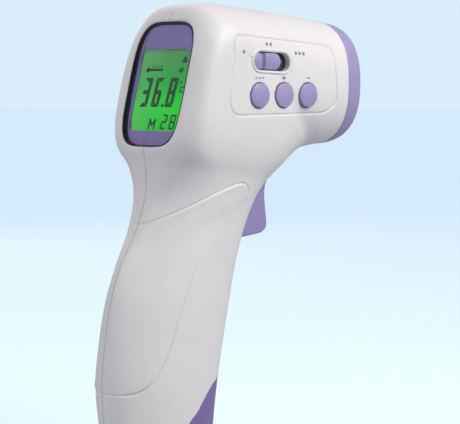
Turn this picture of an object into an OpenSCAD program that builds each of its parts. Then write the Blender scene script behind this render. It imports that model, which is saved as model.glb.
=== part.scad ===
// Pistol-style forehead thermometer: two shell halves meeting on the plane y = 0,
// a tilted display at the rear of the head, a key panel on the -Y side, a sensor in
// the nose, a hinged trigger under the barrel and a hinged battery cover at the toe.
// Frame: origin at the centre of the base, +X towards the nose, +Z up.

/* [Shell] */
// Wall thickness of the two shell halves
wall = 2.0; // [1.6:0.1:2.4]
// Gap left between the halves along the seam
seam_gap = 0.1; // [0.05:0.05:0.3]
// Front end of the white shell, where the nose ring starts
shell_end = 66; // [64:0.5:68]
// Thickness of the floor of the grip
floor_t = 1.8; // [1.2:0.1:2.0]
// Steps along each span of the body curve
span_steps = 2; // [1:1:3]
// Steps round each quarter of a section
arc_steps = 8; // [5:1:12]

/* [Display] */
// Width of the window opening
window_w = 29; // [24:0.5:31]
// Height of the window opening
window_h = 41; // [34:0.5:42]
// Lean of the display away from vertical
window_tilt = 14; // [8:1:20]
// Width of the visible part of the liquid-crystal panel
lcd_w = 22; // [18:0.5:24]
// Height of the visible part of the liquid-crystal panel
lcd_h = 26.5; // [20:0.5:30]
// How far the clear lens lies below the shell
lens_depth = 1.3; // [1.0:0.1:1.6]

/* [Keys] */
// Diameter of the round buttons
button_d = 7.8; // [6:0.1:8.4]
// Gap all round a button in its hole
button_gap = 0.3; // [0.2:0.05:0.4]
// Distance between button centres
button_pitch = 11.0; // [10.5:0.1:12]
// Length of the selector slot
slot_l = 16; // [14:0.5:18]
// Height of the selector slot
slot_h = 5.9; // [5:0.1:7]
// Length of the selector knob
knob_l = 11.8; // [9:0.1:12]
// Slope of the selector slot towards the nose
slot_slope = 2.4; // [0:0.2:5]

/* [Trigger] */
// Width of the trigger
trigger_w = 12; // [8:0.5:14]
// Gap beside the trigger in its slot
trigger_gap = 0.3; // [0.2:0.05:0.5]
// Diameter of the trigger pin
pin_d = 2.0; // [1.6:0.1:3]

/* [Battery] */
// Diameter of one AA cell
cell_d = 14.2; // [13.8:0.1:14.5]
// Length of one AA cell without its nub
cell_l = 49.0; // [48:0.5:50]
// Centre distance of the two cells
cell_pitch = 14.8; // [14.7:0.1:15.4]
// Height of the cells' lower ends above the base
cell_z = 12.8; // [12:0.1:14]

/* [Hidden] */
$fn = 48;
fit = 0.05;          // running clearance of a pin in its bore
eps = 0.01;

ivory = [0.90, 0.88, 0.87];
lilac = [0.64, 0.60, 0.80];
violet = [0.48, 0.42, 0.68];
dark = [0.10, 0.10, 0.13];
steel = [0.75, 0.75, 0.77];
board_green = [0.10, 0.38, 0.22];
lcd_green = [0.20, 0.80, 0.35];
cell_color = [0.85, 0.65, 0.25];

// ---- body curve --------------------------------------------------------------
// Each row is one section of the bent body, from the base up the grip and out
// along the barrel: [front x, front z, rear x, rear z, front half width, rear half
// width, front share, rear share, front roundness, rear roundness]. The shares say
// how much of the section's length each rounded end takes.
stations = [
    [17.6,   0.0, -18.4,   0.0, 11.2, 11.2, .49, .49, 2.3, 2.0],
    [18.5,   9.0, -20.7,   9.0, 12.0, 12.0, .49, .49, 2.3, 2.0],
    [19.4,  19.0, -22.5,  19.0, 12.7, 12.7, .49, .49, 2.3, 2.0],
    [21.0,  31.0, -23.2,  31.0, 13.2, 13.2, .49, .49, 2.3, 2.1],
    [23.6,  43.0, -22.1,  43.0, 13.3, 13.3, .49, .49, 2.2, 2.0],
    [26.4,  56.0, -19.8,  56.0, 13.2, 13.2, .49, .49, 2.2, 1.9],
    [29.2,  68.0, -15.8,  67.5, 13.1, 13.1, .49, .49, 2.2, 1.8],
    [33.0,  79.5,  -9.6,  78.5, 13.4, 13.4, .49, .48, 2.2, 2.1],
    [36.8,  87.3,  -5.8,  89.0, 14.4, 14.4, .49, .42, 2.2, 2.4],
    [40.4,  92.0,  -5.4,  98.0, 16.0, 16.6, .49, .32, 2.2, 2.6],
    [43.8,  95.0,  -6.4, 105.0, 18.0, 19.8, .49, .22, 2.2, 3.1],
    [46.8,  97.3,  -4.8, 113.0, 19.4, 21.6, .49, .17, 2.2, 3.5],
    [49.4,  99.2,  -2.2, 123.0, 20.2, 21.9, .49, .15, 2.2, 3.6],
    [51.8, 100.6,   0.4, 133.0, 20.5, 21.8, .49, .16, 2.2, 3.6],
    [54.2, 101.8,   3.2, 142.0, 20.6, 21.5, .49, .20, 2.2, 3.3],
    [56.4, 102.6,   7.0, 148.6, 20.4, 21.2, .49, .32, 2.2, 3.0],
    [58.6, 103.2,  14.5, 150.2, 20.2, 20.8, .49, .42, 2.3, 2.8],
    [60.8, 103.6,  27.0, 149.4, 20.0, 20.5, .49, .46, 2.4, 2.7],
    [63.0, 103.9,  41.0, 148.2, 19.7, 20.1, .49, .48, 2.4, 2.6],
    [65.2, 104.1,  54.0, 146.9, 19.3, 19.6, .49, .49, 2.4, 2.5],
    [67.0, 104.2,  63.0, 145.9, 19.0, 19.1, .49, .49, 2.4, 2.4],
    [68.0, 104.3,  68.0, 145.3, 18.8, 18.8, .49, .49, 2.4, 2.4]];
last_u = len(stations) - 1;

// a smooth curve through the rows, as one row at position u
function row(u) = let (
    i = max(0, min(floor(u), last_u - 1)), t = u - i,
    a = stations[max(i - 1, 0)], b = stations[i],
    c = stations[i + 1], d = stations[min(i + 2, last_u)])
    0.5 * (2 * b + (c - a) * t + (2 * a - 5 * b + 4 * c - d) * t * t
        + (3 * b - a - 3 * c + d) * t * t * t);

// point of the section at u; w runs 0..1 over the front arc, 1..2 over the side
// and 2..3 over the rear arc
function arc_q(c, p) = pow(max(c, 0), 2 / p);
function point_at(u, w) = let (
    s = row(u),
    front = w <= 1, side = w > 1 && w < 2,
    a = front ? 90 * w : 90 * (w - 2),
    q = front ? s[6] * (1 - arc_q(cos(a), s[8]))
        : side ? s[6] + (1 - s[7] - s[6]) * (w - 1)
        : 1 - s[7] + s[7] * arc_q(sin(a), s[9]),
    y = front ? s[4] * arc_q(sin(a), s[8])
        : side ? s[4] + (s[5] - s[4]) * (w - 1)
        : s[5] * arc_q(cos(a), s[9]))
    [s[0] + (s[2] - s[0]) * q, y, s[1] + (s[3] - s[1]) * q];

// outward normal from neighbouring points, kept in the seam plane at the ends
function unit(v) = v / norm(v);
function normal_at(u, w) = let (
    du = 0.02, dw = w > 1 && w < 2 ? 0.52 : 0.02, flat = w == 0 || w == 3,
    along = point_at(min(u + du, last_u), w) - point_at(max(u - du, 0), w),
    round = flat ? [0, w == 0 ? 1 : -1, 0]
        : point_at(u, min(w + dw, 3)) - point_at(u, max(w - dw, 0)),
    n = cross(along, round))
    flat ? unit([n[0], 0, n[2]]) : unit(n);

side_steps = 2;
ws = concat([for (i = [0:arc_steps]) i / arc_steps],
    [for (i = [1:side_steps - 1]) 1 + i / side_steps],
    [for (i = [0:arc_steps]) 2 + i / arc_steps]);
function u_list(from, to) = let (n = round((to - from) * span_steps))
    [for (i = [0:n]) from + (to - from) * i / n];
function half_ring(u, inset) = [for (w = ws)
    point_at(u, w) + inset * normal_at(u, w) + [0, seam_gap / 2, 0]];

function flipped(list) = [for (i = [len(list) - 1:-1:0]) list[i]];

// solid through closed loops of equal length, with strip-wise end caps
module skin_half(us) {
    m = len(ws);
    loops = [for (u = us) concat(half_ring(u, 0), flipped(half_ring(u, wall)))];
    k = 2 * m;
    n = len(loops);
    sides = [for (i = [0:n - 2], j = [0:k - 1]) let (j2 = (j + 1) % k)
        each [[i * k + j, (i + 1) * k + j, (i + 1) * k + j2],
            [i * k + j, (i + 1) * k + j2, i * k + j2]]];
    start = [for (j = [0:m - 2])
        each [[j, k - 2 - j, k - 1 - j], [j, j + 1, k - 2 - j]]];
    e = (n - 1) * k;
    end = [for (j = [0:m - 2])
        each [[e + j, e + k - 1 - j, e + k - 2 - j], [e + j, e + k - 2 - j, e + j + 1]]];
    polyhedron([for (l = loops) each l], concat(sides, start, end), convexity = 12);
}

// solid half body a given depth below the skin, for trimming what is inside
module core(inset) {
    m = len(ws);
    loops = [for (u = u_list(0, last_u)) half_ring(u, inset)];
    n = len(loops);
    e = (n - 1) * m;
    half_m = floor(m / 2);
    sides = [for (i = [0:n - 2], j = [0:m - 1]) let (j2 = (j + 1) % m)
        each [[i * m + j, (i + 1) * m + j, (i + 1) * m + j2],
            [i * m + j, (i + 1) * m + j2, i * m + j2]]];
    caps = [for (j = [0:half_m - 1]) let (b = m - 1 - j)
        each concat(
            [[j, j + 1, b]], j + 1 < b - 1 ? [[j + 1, b - 1, b]] : [],
            [[e + j, e + b, e + j + 1]], j + 1 < b - 1 ? [[e + j + 1, e + b, e + b - 1]] : [])];
    polyhedron([for (l = loops) each l], concat(sides, caps), convexity = 8);
}
trim_depth = 0.7;       // bosses and ribs end this far inside the wall
module trimmed() intersection() {
    union() children();
    core(trim_depth);
}

// grid of points closed both ways, as on a ring
module skin_ring(loops) {
    n = len(loops);
    k = len(loops[0]);
    polyhedron([for (l = loops) each l],
        [for (i = [0:n - 1], j = [0:k - 1])
            let (i2 = (i + 1) % n, j2 = (j + 1) % k)
            each [[i * k + j, i2 * k + j, i2 * k + j2], [i * k + j, i2 * k + j2, i * k + j2]]],
        convexity = 8);
}

// ---- placing helpers ------------------------------------------------------------
window_c = [-1.4, 0, 124.6];      // centre of the display opening on the shell
module at_window() translate(window_c) rotate([0, window_tilt, 0]) children();
module along_y(x, z) translate([x, 0, z]) rotate([-90, 0, 0]) children();
// round bar from y = a to y = b at x, z
module bar(x, z, d, a, b) along_y(x, z) translate([0, 0, min(a, b)])
    cylinder(d = d, h = abs(b - a));
// rounded rectangle, width along Y and height along Z, drawn flat
module round_rect(w, h, r) {
    square([h - 2 * r, w], center = true);
    square([h, w - 2 * r], center = true);
    for (i = [-1, 1], j = [-1, 1])
        translate([i * (h / 2 - r), j * (w / 2 - r)]) circle(r = r);
}
// the same as a plate from depth a to depth b below the display face
module plate(w, h, r, a, b) translate([a, 0, 0]) rotate([0, -90, 0])
    mirror([0, 0, 1]) linear_extrude(b - a) round_rect(w, h, r);
// superellipse outline for the nose, centred on y = 0
function nose_ring_pts(x, low, high, half, n = 48) = [for (i = [0:n - 1])
    let (a = 360 * i / n, c = cos(a), s = sin(a), e = 2 / 2.4)
    [x, half * sign(c) * pow(abs(c), e),
        (low + high) / 2 + (high - low) / 2 * sign(s) * pow(abs(s), e)]];
// side profile pushed through the width of the part
module side_prism(pts, a, b) translate([0, b, 0]) rotate([90, 0, 0])
    linear_extrude(b - a) polygon(pts);
// stadium along the selector slope, from y = a to y = b on the key side
module stadium(c, l, h, a, b) translate([c[0], 0, c[1]]) rotate([0, slot_slope, 0])
    translate([0, b, 0]) rotate([90, 0, 0]) linear_extrude(b - a) {
        square([l - h, h], center = true);
        for (i = [-1, 1]) translate([i * (l - h) / 2, 0]) circle(d = h);
    }

// ---- shared positions -------------------------------------------------------------
button_x = [for (i = [0:2]) 24.0 + i * button_pitch];
button_z = 120.8;
slot_c = [29.4, 131.5];                     // centre of the selector slot
slot_end_gap = 0.2;
knob_c = [slot_c[0] - (slot_l - knob_l) / 2 + slot_end_gap, slot_c[1] + 0.1];
board_face = 13.5;                          // outer face of the key board
// x, z and distance of the skin from the seam at each boss
key_bosses = [[16.2, 116.6, 20.8], [53.0, 118.6, 18.8], [15.4, 131.0, 21.2],
    [51.5, 134.5, 18.6]];
shell_bosses = [[6.0, 70.5, 12.8], [-18.0, 30.0, 8.0], [57.5, 112.5, 16.6],
    [24.0, 140.6, 18.6], [57.0, 137.5, 16.8]];
boss_end = 30;                              // bosses are trimmed to the wall
trigger_pivot = [36.5, 98.2];
plunger_z = 80;
spring_z = 88;
hinge = [12.6, 7.8];                        // axis of the battery cover
nose_r = 5.6;                               // rounded lower edge of the cover
cover_r = 14.3;                             // lower rear edge of the cover, about the hinge
nose_z = 124.8;
cell_x = [-7.5, -7.5 + cell_pitch];

// everything on the cover's side of its upper edge; grow moves the edge outwards
function cover_edge(grow) = concat(
    [for (a = [206:-8:126]) let (r = cover_r + grow)
        [hinge[0] + r * cos(a), hinge[1] + r * sin(a)]],
    [[6.0 - grow * .7, 21.1 + grow * .7], [8.2 - grow * .8, 23.8 + grow * .6],
        [10.6 - grow * .7, 26.4 + grow * .7], [13.2 - grow * .6, 28.3 + grow * .8],
        [17.0 - grow * .5, 30.3 + grow * .9], [24.0 - grow * .5, 34.0 + grow * .9],
        [34.0, 35.0 + grow], [34.0, -9.0], [-0.6 - grow, -9.0]]);

// outline of the trigger seen from the side
trigger_pts = [[42.3, 94.1], [40.9, 92.4], [40.2, 90.4], [40.1, 87.5], [40.5, 83.5],
    [41.0, 80.0], [41.1, 78.3], [40.7, 77.0], [39.5, 76.0], [37.7, 75.4], [30.6, 74.6],
    [27.0, 74.5], [28.9, 80.0], [31.6, 88.0], [33.0, 94.0], [32.8, 99.0], [34.6, 101.4],
    [38.4, 101.4], [40.4, 99.2], [40.9, 96.2]];
slot_pts = [[24.0, 73.9], [50.0, 73.9], [50.0, 91.5], [44.8, 92.6], [41.2, 97.4],
    [41.2, 99.0], [24.0, 99.0]];

// ---- shells --------------------------------------------------------------------------
// one half without its own bosses, on the +Y side
module shell_half(boss_d, key_side) {
    difference() {
        union() {
            skin_half(u_list(0, last_u));
            floor_half();
            trimmed() {
                trigger_ears();
                cover_ears();
                board_rails();
                switch_ribs();
                shell_boss_set(boss_d);
                if (key_side) key_boss_set();
            }
        }
        translate([shell_end, -1, 90]) cube([20, 40, 80]);
        at_window() plate(window_w, window_h, 5, -6, 4.6);
        side_prism(slot_pts, -1, trigger_w / 2 + trigger_gap);
        cover_gap();
    }
}
module floor_half() linear_extrude(floor_t)
    polygon(concat([[17.0, seam_gap / 2]], [for (w = ws) let (p = point_at(0, w))
        if (w > 0 && w < 3) [p[0] * 0.97, p[1] * 0.97 + seam_gap / 2]],
        [[-17.8, seam_gap / 2]]));
// bearing blocks for the trigger pin
module trigger_ears() difference() {
    bar(trigger_pivot[0], trigger_pivot[1], 6.4, trigger_w / 2 + 0.5, boss_end);
    bar(trigger_pivot[0], trigger_pivot[1], pin_d + fit, 0, 9.2);
}
// upright ears for the pin of the battery cover
module cover_ears() difference() {
    union() {
        bar(hinge[0], hinge[1], 3.6, 3.9, 5.4);
        translate([hinge[0] - 1.8, 3.9, 1]) cube([3.6, 1.5, hinge[1] - 1]);
    }
    bar(hinge[0], hinge[1], pin_d + fit, 0, 8);
}
// slotted rails that hold the edges of the main board
module board_rails() at_window() for (z = [-9, 9]) difference() {
    translate([6.1, 15.4, z - 4]) cube([4.0, 8, 8]);
    translate([7.1, 15.0, z - 5]) cube([1.8, 1.7, 10]);
}
// ribs that hold the trigger's board and carry its spring
module switch_ribs() {
    difference() {
        translate([15.2, 5.8, 76]) cube([4.2, 10, 12]);
        translate([16.3, 5.0, 75]) cube([1.8, 2.3, 14]);
    }
    translate([20.8, 0, 84.4]) cube([2.0, 18, 7.2]);
}
// room for the battery cover and its swing
module cover_gap() difference() {
    side_prism(cover_edge(0.3), -1, 30);
    translate([-30, -2, -10]) cube([70, 40, 10 + floor_t]);
    cover_ears();
}
module shell_boss_set(d) for (b = shell_bosses) bar(b[0], b[1], d, 0, boss_end);
module key_boss_set() for (b = key_bosses) bar(b[0], b[1], 4.4, board_face + 0.05, boss_end);
module right_shell() color(ivory) mirror([0, 1, 0]) difference() {
    shell_half(4.4, true);
    for (b = shell_bosses) bar(b[0], b[1], 1.9, -1, b[2] - 2.4);
    for (b = key_bosses) bar(b[0], b[1], 1.7, 0, b[2] - 1.8);
    for (x = button_x) {
        bar(x, button_z, button_d + 2 * button_gap, 12, 30);
        bar(x, button_z, button_d + 2.8, board_face + 0.5, flange_out + 0.3);
    }
    stadium(slot_c, slot_l, slot_h, 12, 30);
    translate([knob_c[0], board_face + 0.5, knob_c[1]]) rotate([0, slot_slope, 0])
        translate([-slide_l / 2 - 0.4, 0, -slide_h / 2 - 0.35])
            cube([slide_l + slot_l - knob_l + 0.6, slide_out + 0.35 - board_face - 0.5,
                slide_h + 0.7]);
}
module left_shell() color(ivory) difference() {
    shell_half(5.2, false);
    for (b = shell_bosses) {
        bar(b[0], b[1], 2.4, -1, 40);
        bar(b[0], b[1], 4.4, b[2] - 3.4, 40);
    }
}
module shell_screws() color(steel) for (b = shell_bosses) difference() {
    union() {
        bar(b[0], b[1], 4.0, b[2] - 3.3, b[2] - 1.7);
        bar(b[0], b[1], 1.85, 3.0 - b[2], b[2] - 3.3);
    }
    for (t = [0, 90]) translate([b[0], b[2] - 1.7, b[1]]) rotate([0, t, 0])
        cube([2.4, 1.6, 0.5], center = true);
}

// ---- nose --------------------------------------------------------------------------------
// each row: x, lowest z, highest z, half width
module nose_ring() color(lilac) skin_ring([for (r = [
    [66.1, 104.2, 145.5, 18.9], [67.4, 104.2, 145.3, 18.9], [69.2, 104.4, 145.1, 18.8],
    [71.0, 104.8, 144.7, 18.5], [72.2, 105.4, 144.1, 18.0], [72.9, 106.2, 143.3, 17.3],
    [73.0, 107.2, 142.3, 16.4], [72.6, 108.0, 141.5, 15.7], [71.8, 108.6, 140.9, 15.2],
    [70.0, 108.8, 140.7, 15.1], [61.6, 108.8, 140.7, 15.1], [61.6, 106.9, 142.7, 16.5],
    [66.1, 106.7, 142.9, 16.6]])
    nose_ring_pts(r[0], r[1], r[2], r[3])]);
module on_axis(x) translate([x, 0, nose_z]) rotate([0, 90, 0]) children();
module sensor_hood() color(dark) difference() {
    union() {
        translate([70.2, 0, 0]) rotate([90, 0, 90]) linear_extrude(1.2)
            polygon([for (p = nose_ring_pts(0, 109.0, 140.5, 14.9)) [p[1], p[2]]]);
        on_axis(58) cylinder(d1 = 12, d2 = 22.6, h = 12.4);
        for (y = [-11.6, 11.6]) translate([62, y, nose_z]) rotate([0, 90, 0])
            cylinder(d = 4, h = 8.4);
    }
    on_axis(58 - eps) cylinder(d1 = 8.6, d2 = 20.0, h = 13.5);
    for (y = [-11.6, 11.6]) translate([61, y, nose_z]) rotate([0, 90, 0])
        cylinder(d = 1.6, h = 6);
}
module sensor_holder() color(dark) difference() {
    union() {
        on_axis(52) cylinder(d = 15, h = 5.9);
        on_axis(52) cylinder(d = 20, h = 1.4);
    }
    on_axis(51) cylinder(d = 9.5, h = 8);
}
module ir_sensor() color(steel) {
    difference() {
        union() {
            on_axis(52.2) cylinder(d = 9.2, h = 0.6);
            on_axis(52.2) cylinder(d = 8.2, h = 4.2);
        }
        on_axis(55.8) cylinder(d = 5.6, h = 2);
    }
    for (y = [-1.8, 1.8], z = [-1.8, 1.8]) translate([49.2, y, nose_z + z])
        rotate([0, 90, 0]) cylinder(d = 0.5, h = 3.1);
}
module sensor_filter() color(dark) on_axis(55.85) cylinder(d = 5.5, h = 0.4);
module sensor_board() color(board_green) difference() {
    on_axis(50.3) cylinder(d = 22, h = 1.6);
    for (y = [-1.8, 1.8], z = [-1.8, 1.8]) translate([50, y, nose_z + z])
        rotate([0, 90, 0]) cylinder(d = 0.7, h = 3);
}

// ---- display --------------------------------------------------------------------------------
lcd_low = -1.6;      // the panel sits below the middle of the window
lens_h = window_h - 2.0;
lens_w = window_w - 2.0;
gasket_depth = 0.35;    // the liner of the opening stays this far below the skin
module window_gasket() color(dark) difference() {
    union() {
        intersection() {
            at_window() plate(window_w - 0.2, window_h - 0.2, 4.9, -2, 4.8);
            union() for (s = [0, 1]) mirror([0, s, 0]) translate([0, -seam_gap / 2, 0])
                core(gasket_depth);
        }
        at_window() plate(window_w + 2.0, window_h + 0.6, 5.2, 4.7, 5.3);
    }
    at_window() plate(lens_w + 0.2, lens_h + 0.2, 4.0, -4, 8);
}
module display_lens() color([0.8, 0.85, 0.9, 0.3]) at_window()
    plate(lens_w, lens_h, 3.9, lens_depth, lens_depth + 0.7);
module display_mask() color(violet) at_window() difference() {
    plate(lens_w, lens_h, 3.9, lens_depth + 0.8, lens_depth + 1.2);
    translate([0, 0, lcd_low]) plate(lcd_w, lcd_h, 0.8, 0, 6);
}
module lcd_panel() color(lcd_green) at_window() translate([0, 0, lcd_low])
    plate(lcd_w + 2.4, lcd_h + 4.6, 0.4, 2.7, 4.5);
module lcd_backlight() color([0.9, 0.95, 0.9]) at_window()
    translate([0, 0, lcd_low + 1.0]) plate(lcd_w + 1.6, lcd_h + 2.2, 0.4, 4.7, 6.9);
module lcd_connector() color(dark) at_window()
    translate([0, 0, lcd_low - 14.9]) plate(lcd_w, 1.4, 0.3, 4.7, 6.9);
module lcd_frame() color([0.88, 0.88, 0.86]) at_window() translate([0, 0, lcd_low])
    difference() {
        plate(lcd_w + 4.0, lcd_h + 8.0, 2.6, 3.1, 7.0);
        plate(lcd_w + 2.8, lcd_h + 5.0, 0.6, 2, 8);
    }
module main_board() color(board_green) at_window() plate(33, 40, 1.0, 7.2, 8.8);
module main_chip() color(dark) at_window() translate([8.9, 0, 4]) rotate([0, 90, 0])
    cylinder(d1 = 12, d2 = 9, h = 1.6);
module buzzer() color(dark) at_window() difference() {
    translate([8.9, 7, -10]) rotate([0, 90, 0]) cylinder(d = 12, h = 5.5);
    translate([12.9, 7, -10]) rotate([0, 90, 0]) cylinder(d = 2, h = 3);
}

// ---- keys --------------------------------------------------------------------------------------
flange_out = 18.1;     // outer face of a button's flange
flange_t = 0.6;
slide_out = 18.4;      // outer face of the plate under the selector knob
slide_l = 19.4;
slide_h = 7.6;
switch_top = 16.6;
stem_d = 3.4;
module key_board() color(board_green) difference() {
    translate([13.0, -board_face, 113.4]) cube([42.6, 1.6, 24.2]);
    for (b = key_bosses) bar(b[0], b[1], 2.2, -20, 0);
    for (b = shell_bosses) bar(b[0], b[1], 5.2, -20, 0);
}
module board_screws() color(steel) for (b = key_bosses) {
    bar(b[0], b[1], 3.6, -board_face + 1.6, -board_face + 2.8);
    bar(b[0], b[1], 1.65, -b[2] + 2.0, -board_face + 1.7);
}
module key_switches() color(dark) for (x = button_x) difference() {
    translate([x - 3, -switch_top, button_z - 3]) cube([6, switch_top - board_face, 6]);
    bar(x, button_z, stem_d + 0.2, -switch_top - 1, -switch_top + 1.7);
}
module button(x, top) color(lilac) {
    intersection() {
        bar(x, button_z, button_d, -23, -flange_out + 0.1);
        translate([x, 13 - top, button_z]) sphere(r = 13, $fn = 96);
    }
    bar(x, button_z, button_d + 2.2, -flange_out, -flange_out + flange_t);
    bar(x, button_z, stem_d, -flange_out + flange_t, -switch_top + 0.4);
}
module mode_button() button(button_x[0], 22.1);
module plus_button() button(button_x[1], 21.6);
module minus_button() button(button_x[2], 21.1);
module selector_knob() color(lilac) difference() {
    stadium([knob_c[0], knob_c[1]], knob_l, slot_h - 0.6, -21.3, -18.4);
    for (i = [-1:1]) translate([knob_c[0] + 1.4 + i * 1.3, -21.3, knob_c[1]])
        rotate([0, slot_slope, 0]) cube([0.4, 0.7, 4.0], center = true);
}
module selector_slide() color(dark) {
    translate([knob_c[0], 0.3 - slide_out, knob_c[1]]) rotate([0, slot_slope, 0])
        cube([slide_l, 0.6, slide_h], center = true);
    translate([knob_c[0], -17.1, knob_c[1]]) rotate([0, slot_slope, 0])
        cube([2.2, 2.2, 2.2], center = true);
}
module selector_switch() color(steel) translate([slot_c[0], 0, slot_c[1]])
    rotate([0, slot_slope, 0]) difference() {
        translate([-5.6, -17.2, -2.9]) cube([11.2, 3.7, 5.8]);
        translate([-3.6, -18.0, -1.4]) cube([7.2, 2.4, 2.8]);
    }

// ---- trigger -----------------------------------------------------------------------------------
module trigger() color(lilac) difference() {
    side_prism(trigger_pts, -trigger_w / 2, trigger_w / 2);
    bar(trigger_pivot[0], trigger_pivot[1], pin_d + 2 * fit, -20, 20);
    translate([29, 0, spring_z]) rotate([0, 90, 0]) cylinder(d = 6.6, h = 5.4);
    for (y = [-1, 1]) translate([28, y * 3.5 - 1.5, 76.6]) cube([6.4, 3.0, 7.4]);
}
module trigger_pin() color(steel)
    bar(trigger_pivot[0], trigger_pivot[1], pin_d, -9.1, 9.1);
spring_from = 22.9;
spring_to = 34.3;
// open coil of round wire between the rib and the trigger
module trigger_spring() color(steel) {
    turns = 5;
    mean_r = 2.5;
    wire_r = 0.3;
    per_turn = 16;
    sides = 8;
    rise = spring_to - spring_from - 2 * wire_r;
    count = turns * per_turn;
    loops = [for (i = [0:count]) let (a = 360 * i / per_turn,
        c = [spring_from + wire_r + rise * i / count, mean_r * cos(a), spring_z + mean_r * sin(a)])
        [for (j = [0:sides - 1]) let (b = 360 * j / sides)
            c + wire_r * (cos(b) * [0, cos(a), sin(a)] + sin(b) * [1, 0, 0])]];
    tube(loops);
}
// closed tube through loops of points, with flat ends
module tube(loops) {
    n = len(loops);
    k = len(loops[0]);
    polyhedron([for (l = loops) each l], concat(
        [for (i = [0:n - 2], j = [0:k - 1]) let (j2 = (j + 1) % k)
            each [[i * k + j, (i + 1) * k + j2, (i + 1) * k + j],
                [i * k + j, i * k + j2, (i + 1) * k + j2]]],
        [[for (j = [k - 1:-1:0]) j]],
        [[for (j = [0:k - 1]) (n - 1) * k + j]]), convexity = 6);
}
module trigger_board() color(board_green)
    translate([16.4, -7.2, 74.6]) cube([1.6, 14.4, 14.2]);
module trigger_switch() color(dark) difference() {
    translate([18.0, -3, plunger_z - 3]) cube([6.3, 6, 6]);
    translate([19.4, 0, plunger_z]) rotate([0, 90, 0]) cylinder(d = 3.6, h = 8);
}
module trigger_plunger() color(steel) translate([22.2, 0, plunger_z])
    rotate([0, 90, 0]) cylinder(d = 3.4, h = 5.2);

// ---- battery ------------------------------------------------------------------------------------
module battery_tray() color([0.85, 0.85, 0.84]) difference() {
    intersection() {
        union() for (x = cell_x) translate([x, 0, cell_z - 2.2])
            cylinder(d = cell_d + 1.6, h = cell_l + 6.0);
        union() for (s = [0, 1]) mirror([0, s, 0]) translate([0, -seam_gap / 2, 0])
            core(wall + 0.15);
    }
    translate([cell_x[1], 0, cell_z - 1.9]) cylinder(d = 9.2, h = 2);
    for (x = cell_x) translate([x, 0, cell_z - 1.0])
        cylinder(d = cell_d + 0.5, h = cell_l + 3.4);
    translate([cell_x[1] - 1, -12, cell_z - 1.0]) cube([14, 24, 18]);
    translate([-24, -12, cell_z - 3]) cube([24 - 14.9, 24, cell_l + 10]);
}
module battery_cells() color(cell_color) for (i = [0, 1])
    translate([cell_x[i], 0, i == 0 ? cell_z : cell_z + cell_l]) mirror([0, 0, i]) {
        cylinder(d = cell_d, h = cell_l);
        cylinder(d = 5.4, h = cell_l + 1);
    }
module contact_springs() color(steel) {
    translate([cell_x[0], 0, cell_z - 0.9]) cylinder(d1 = 8, d2 = 5, h = 0.85);
    translate([cell_x[1], 0, cell_z + cell_l + 0.05]) cylinder(d1 = 5, d2 = 8, h = 2.2);
}
module contact_tabs() color(steel) {
    translate([cell_x[0], 0, cell_z + cell_l + 1.05]) cylinder(d = 9, h = 0.5);
    translate([cell_x[1], 0, cell_z - 1.85]) cylinder(d = 9, h = 0.8);
}
// wire along straight runs, in round section, through the given points
module lead(pts, d) {
    loops = [for (i = [0:len(pts) - 1]) let (
        t = unit(pts[min(i + 1, len(pts) - 1)] - pts[max(i - 1, 0)]),
        s = unit(cross(t, [0.12, 1, 0.05])), r = cross(s, t))
        [for (j = [0:5]) pts[i] + d / 2 * (cos(60 * j) * s + sin(60 * j) * r)]];
    tube(loops);
}
function bezier(a, b, c, d, n = 14) = [for (i = [0:n]) let (t = i / n, s = 1 - t)
    s * s * s * a + 3 * s * s * t * b + 3 * s * t * t * c + t * t * t * d];
module battery_leads() for (i = [0, 1]) color(i == 0 ? [0.8, 0.1, 0.1] : dark)
    lead(bezier([cell_x[i] + 4, 3 - 6 * i, cell_z + cell_l + 4.2],
        [cell_x[i] + 3, 8 - 10 * i, 80], [2, 9 - 6 * i, 88], [4.4, 8 - 4 * i, 105]), 1.1);
module sensor_leads() for (i = [0:2]) color([0.9, 0.9, 0.9])
    lead(bezier([49.9, 3 * i - 3, 119], [44, 3 * i - 3, 112], [24, 3 * i - 5, 108],
        [9.9, 3 * i - 7, 111]), 0.9);
module battery_cover() color(violet) difference() {
    union() {
        intersection() {
            cover_skin();
            side_prism(cover_edge(0), -30, 30);
            union() {
                translate([-12, -30, floor_t + 0.4]) cube([12 + hinge[0], 60, 40]);
                translate([hinge[0] - 1, -30, hinge[1]]) cube([20, 60, 40]);
                bar(hinge[0], hinge[1], 2 * nose_r, -30, 30);
            }
        }
        bar(hinge[0], hinge[1], 4.4, -3.5, 3.5);
        translate([hinge[0], -3.5, hinge[1] - 0.2]) cube([4.4, 7, 2.4]);
    }
    bar(hinge[0], hinge[1], pin_d + 2 * fit, -6, 6);
    // slots in the nose that the fixed ears pass through as the cover swings
    for (s = [-1, 1]) translate([hinge[0] - 2.3, s * 4.65 - 1.05, 0])
        cube([10, 2.1, hinge[1] + 2.9]);
}
// full ring of body wall at the toe
module cover_skin() {
    us = u_list(0.1, 3.6);
    full = function(u, inset) let (h = [for (w = ws) point_at(u, w) + inset * normal_at(u, w)])
        concat(h, [for (i = [len(h) - 2:-1:1]) [h[i][0], -h[i][1], h[i][2]]]);
    outer = [for (u = us) full(u, 0)];
    inner = [for (u = us) full(u, wall)];
    skin_ring(concat(outer, flipped(inner)));
}
module cover_pin() color(steel) bar(hinge[0], hinge[1], pin_d, -5.3, 5.3);

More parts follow.
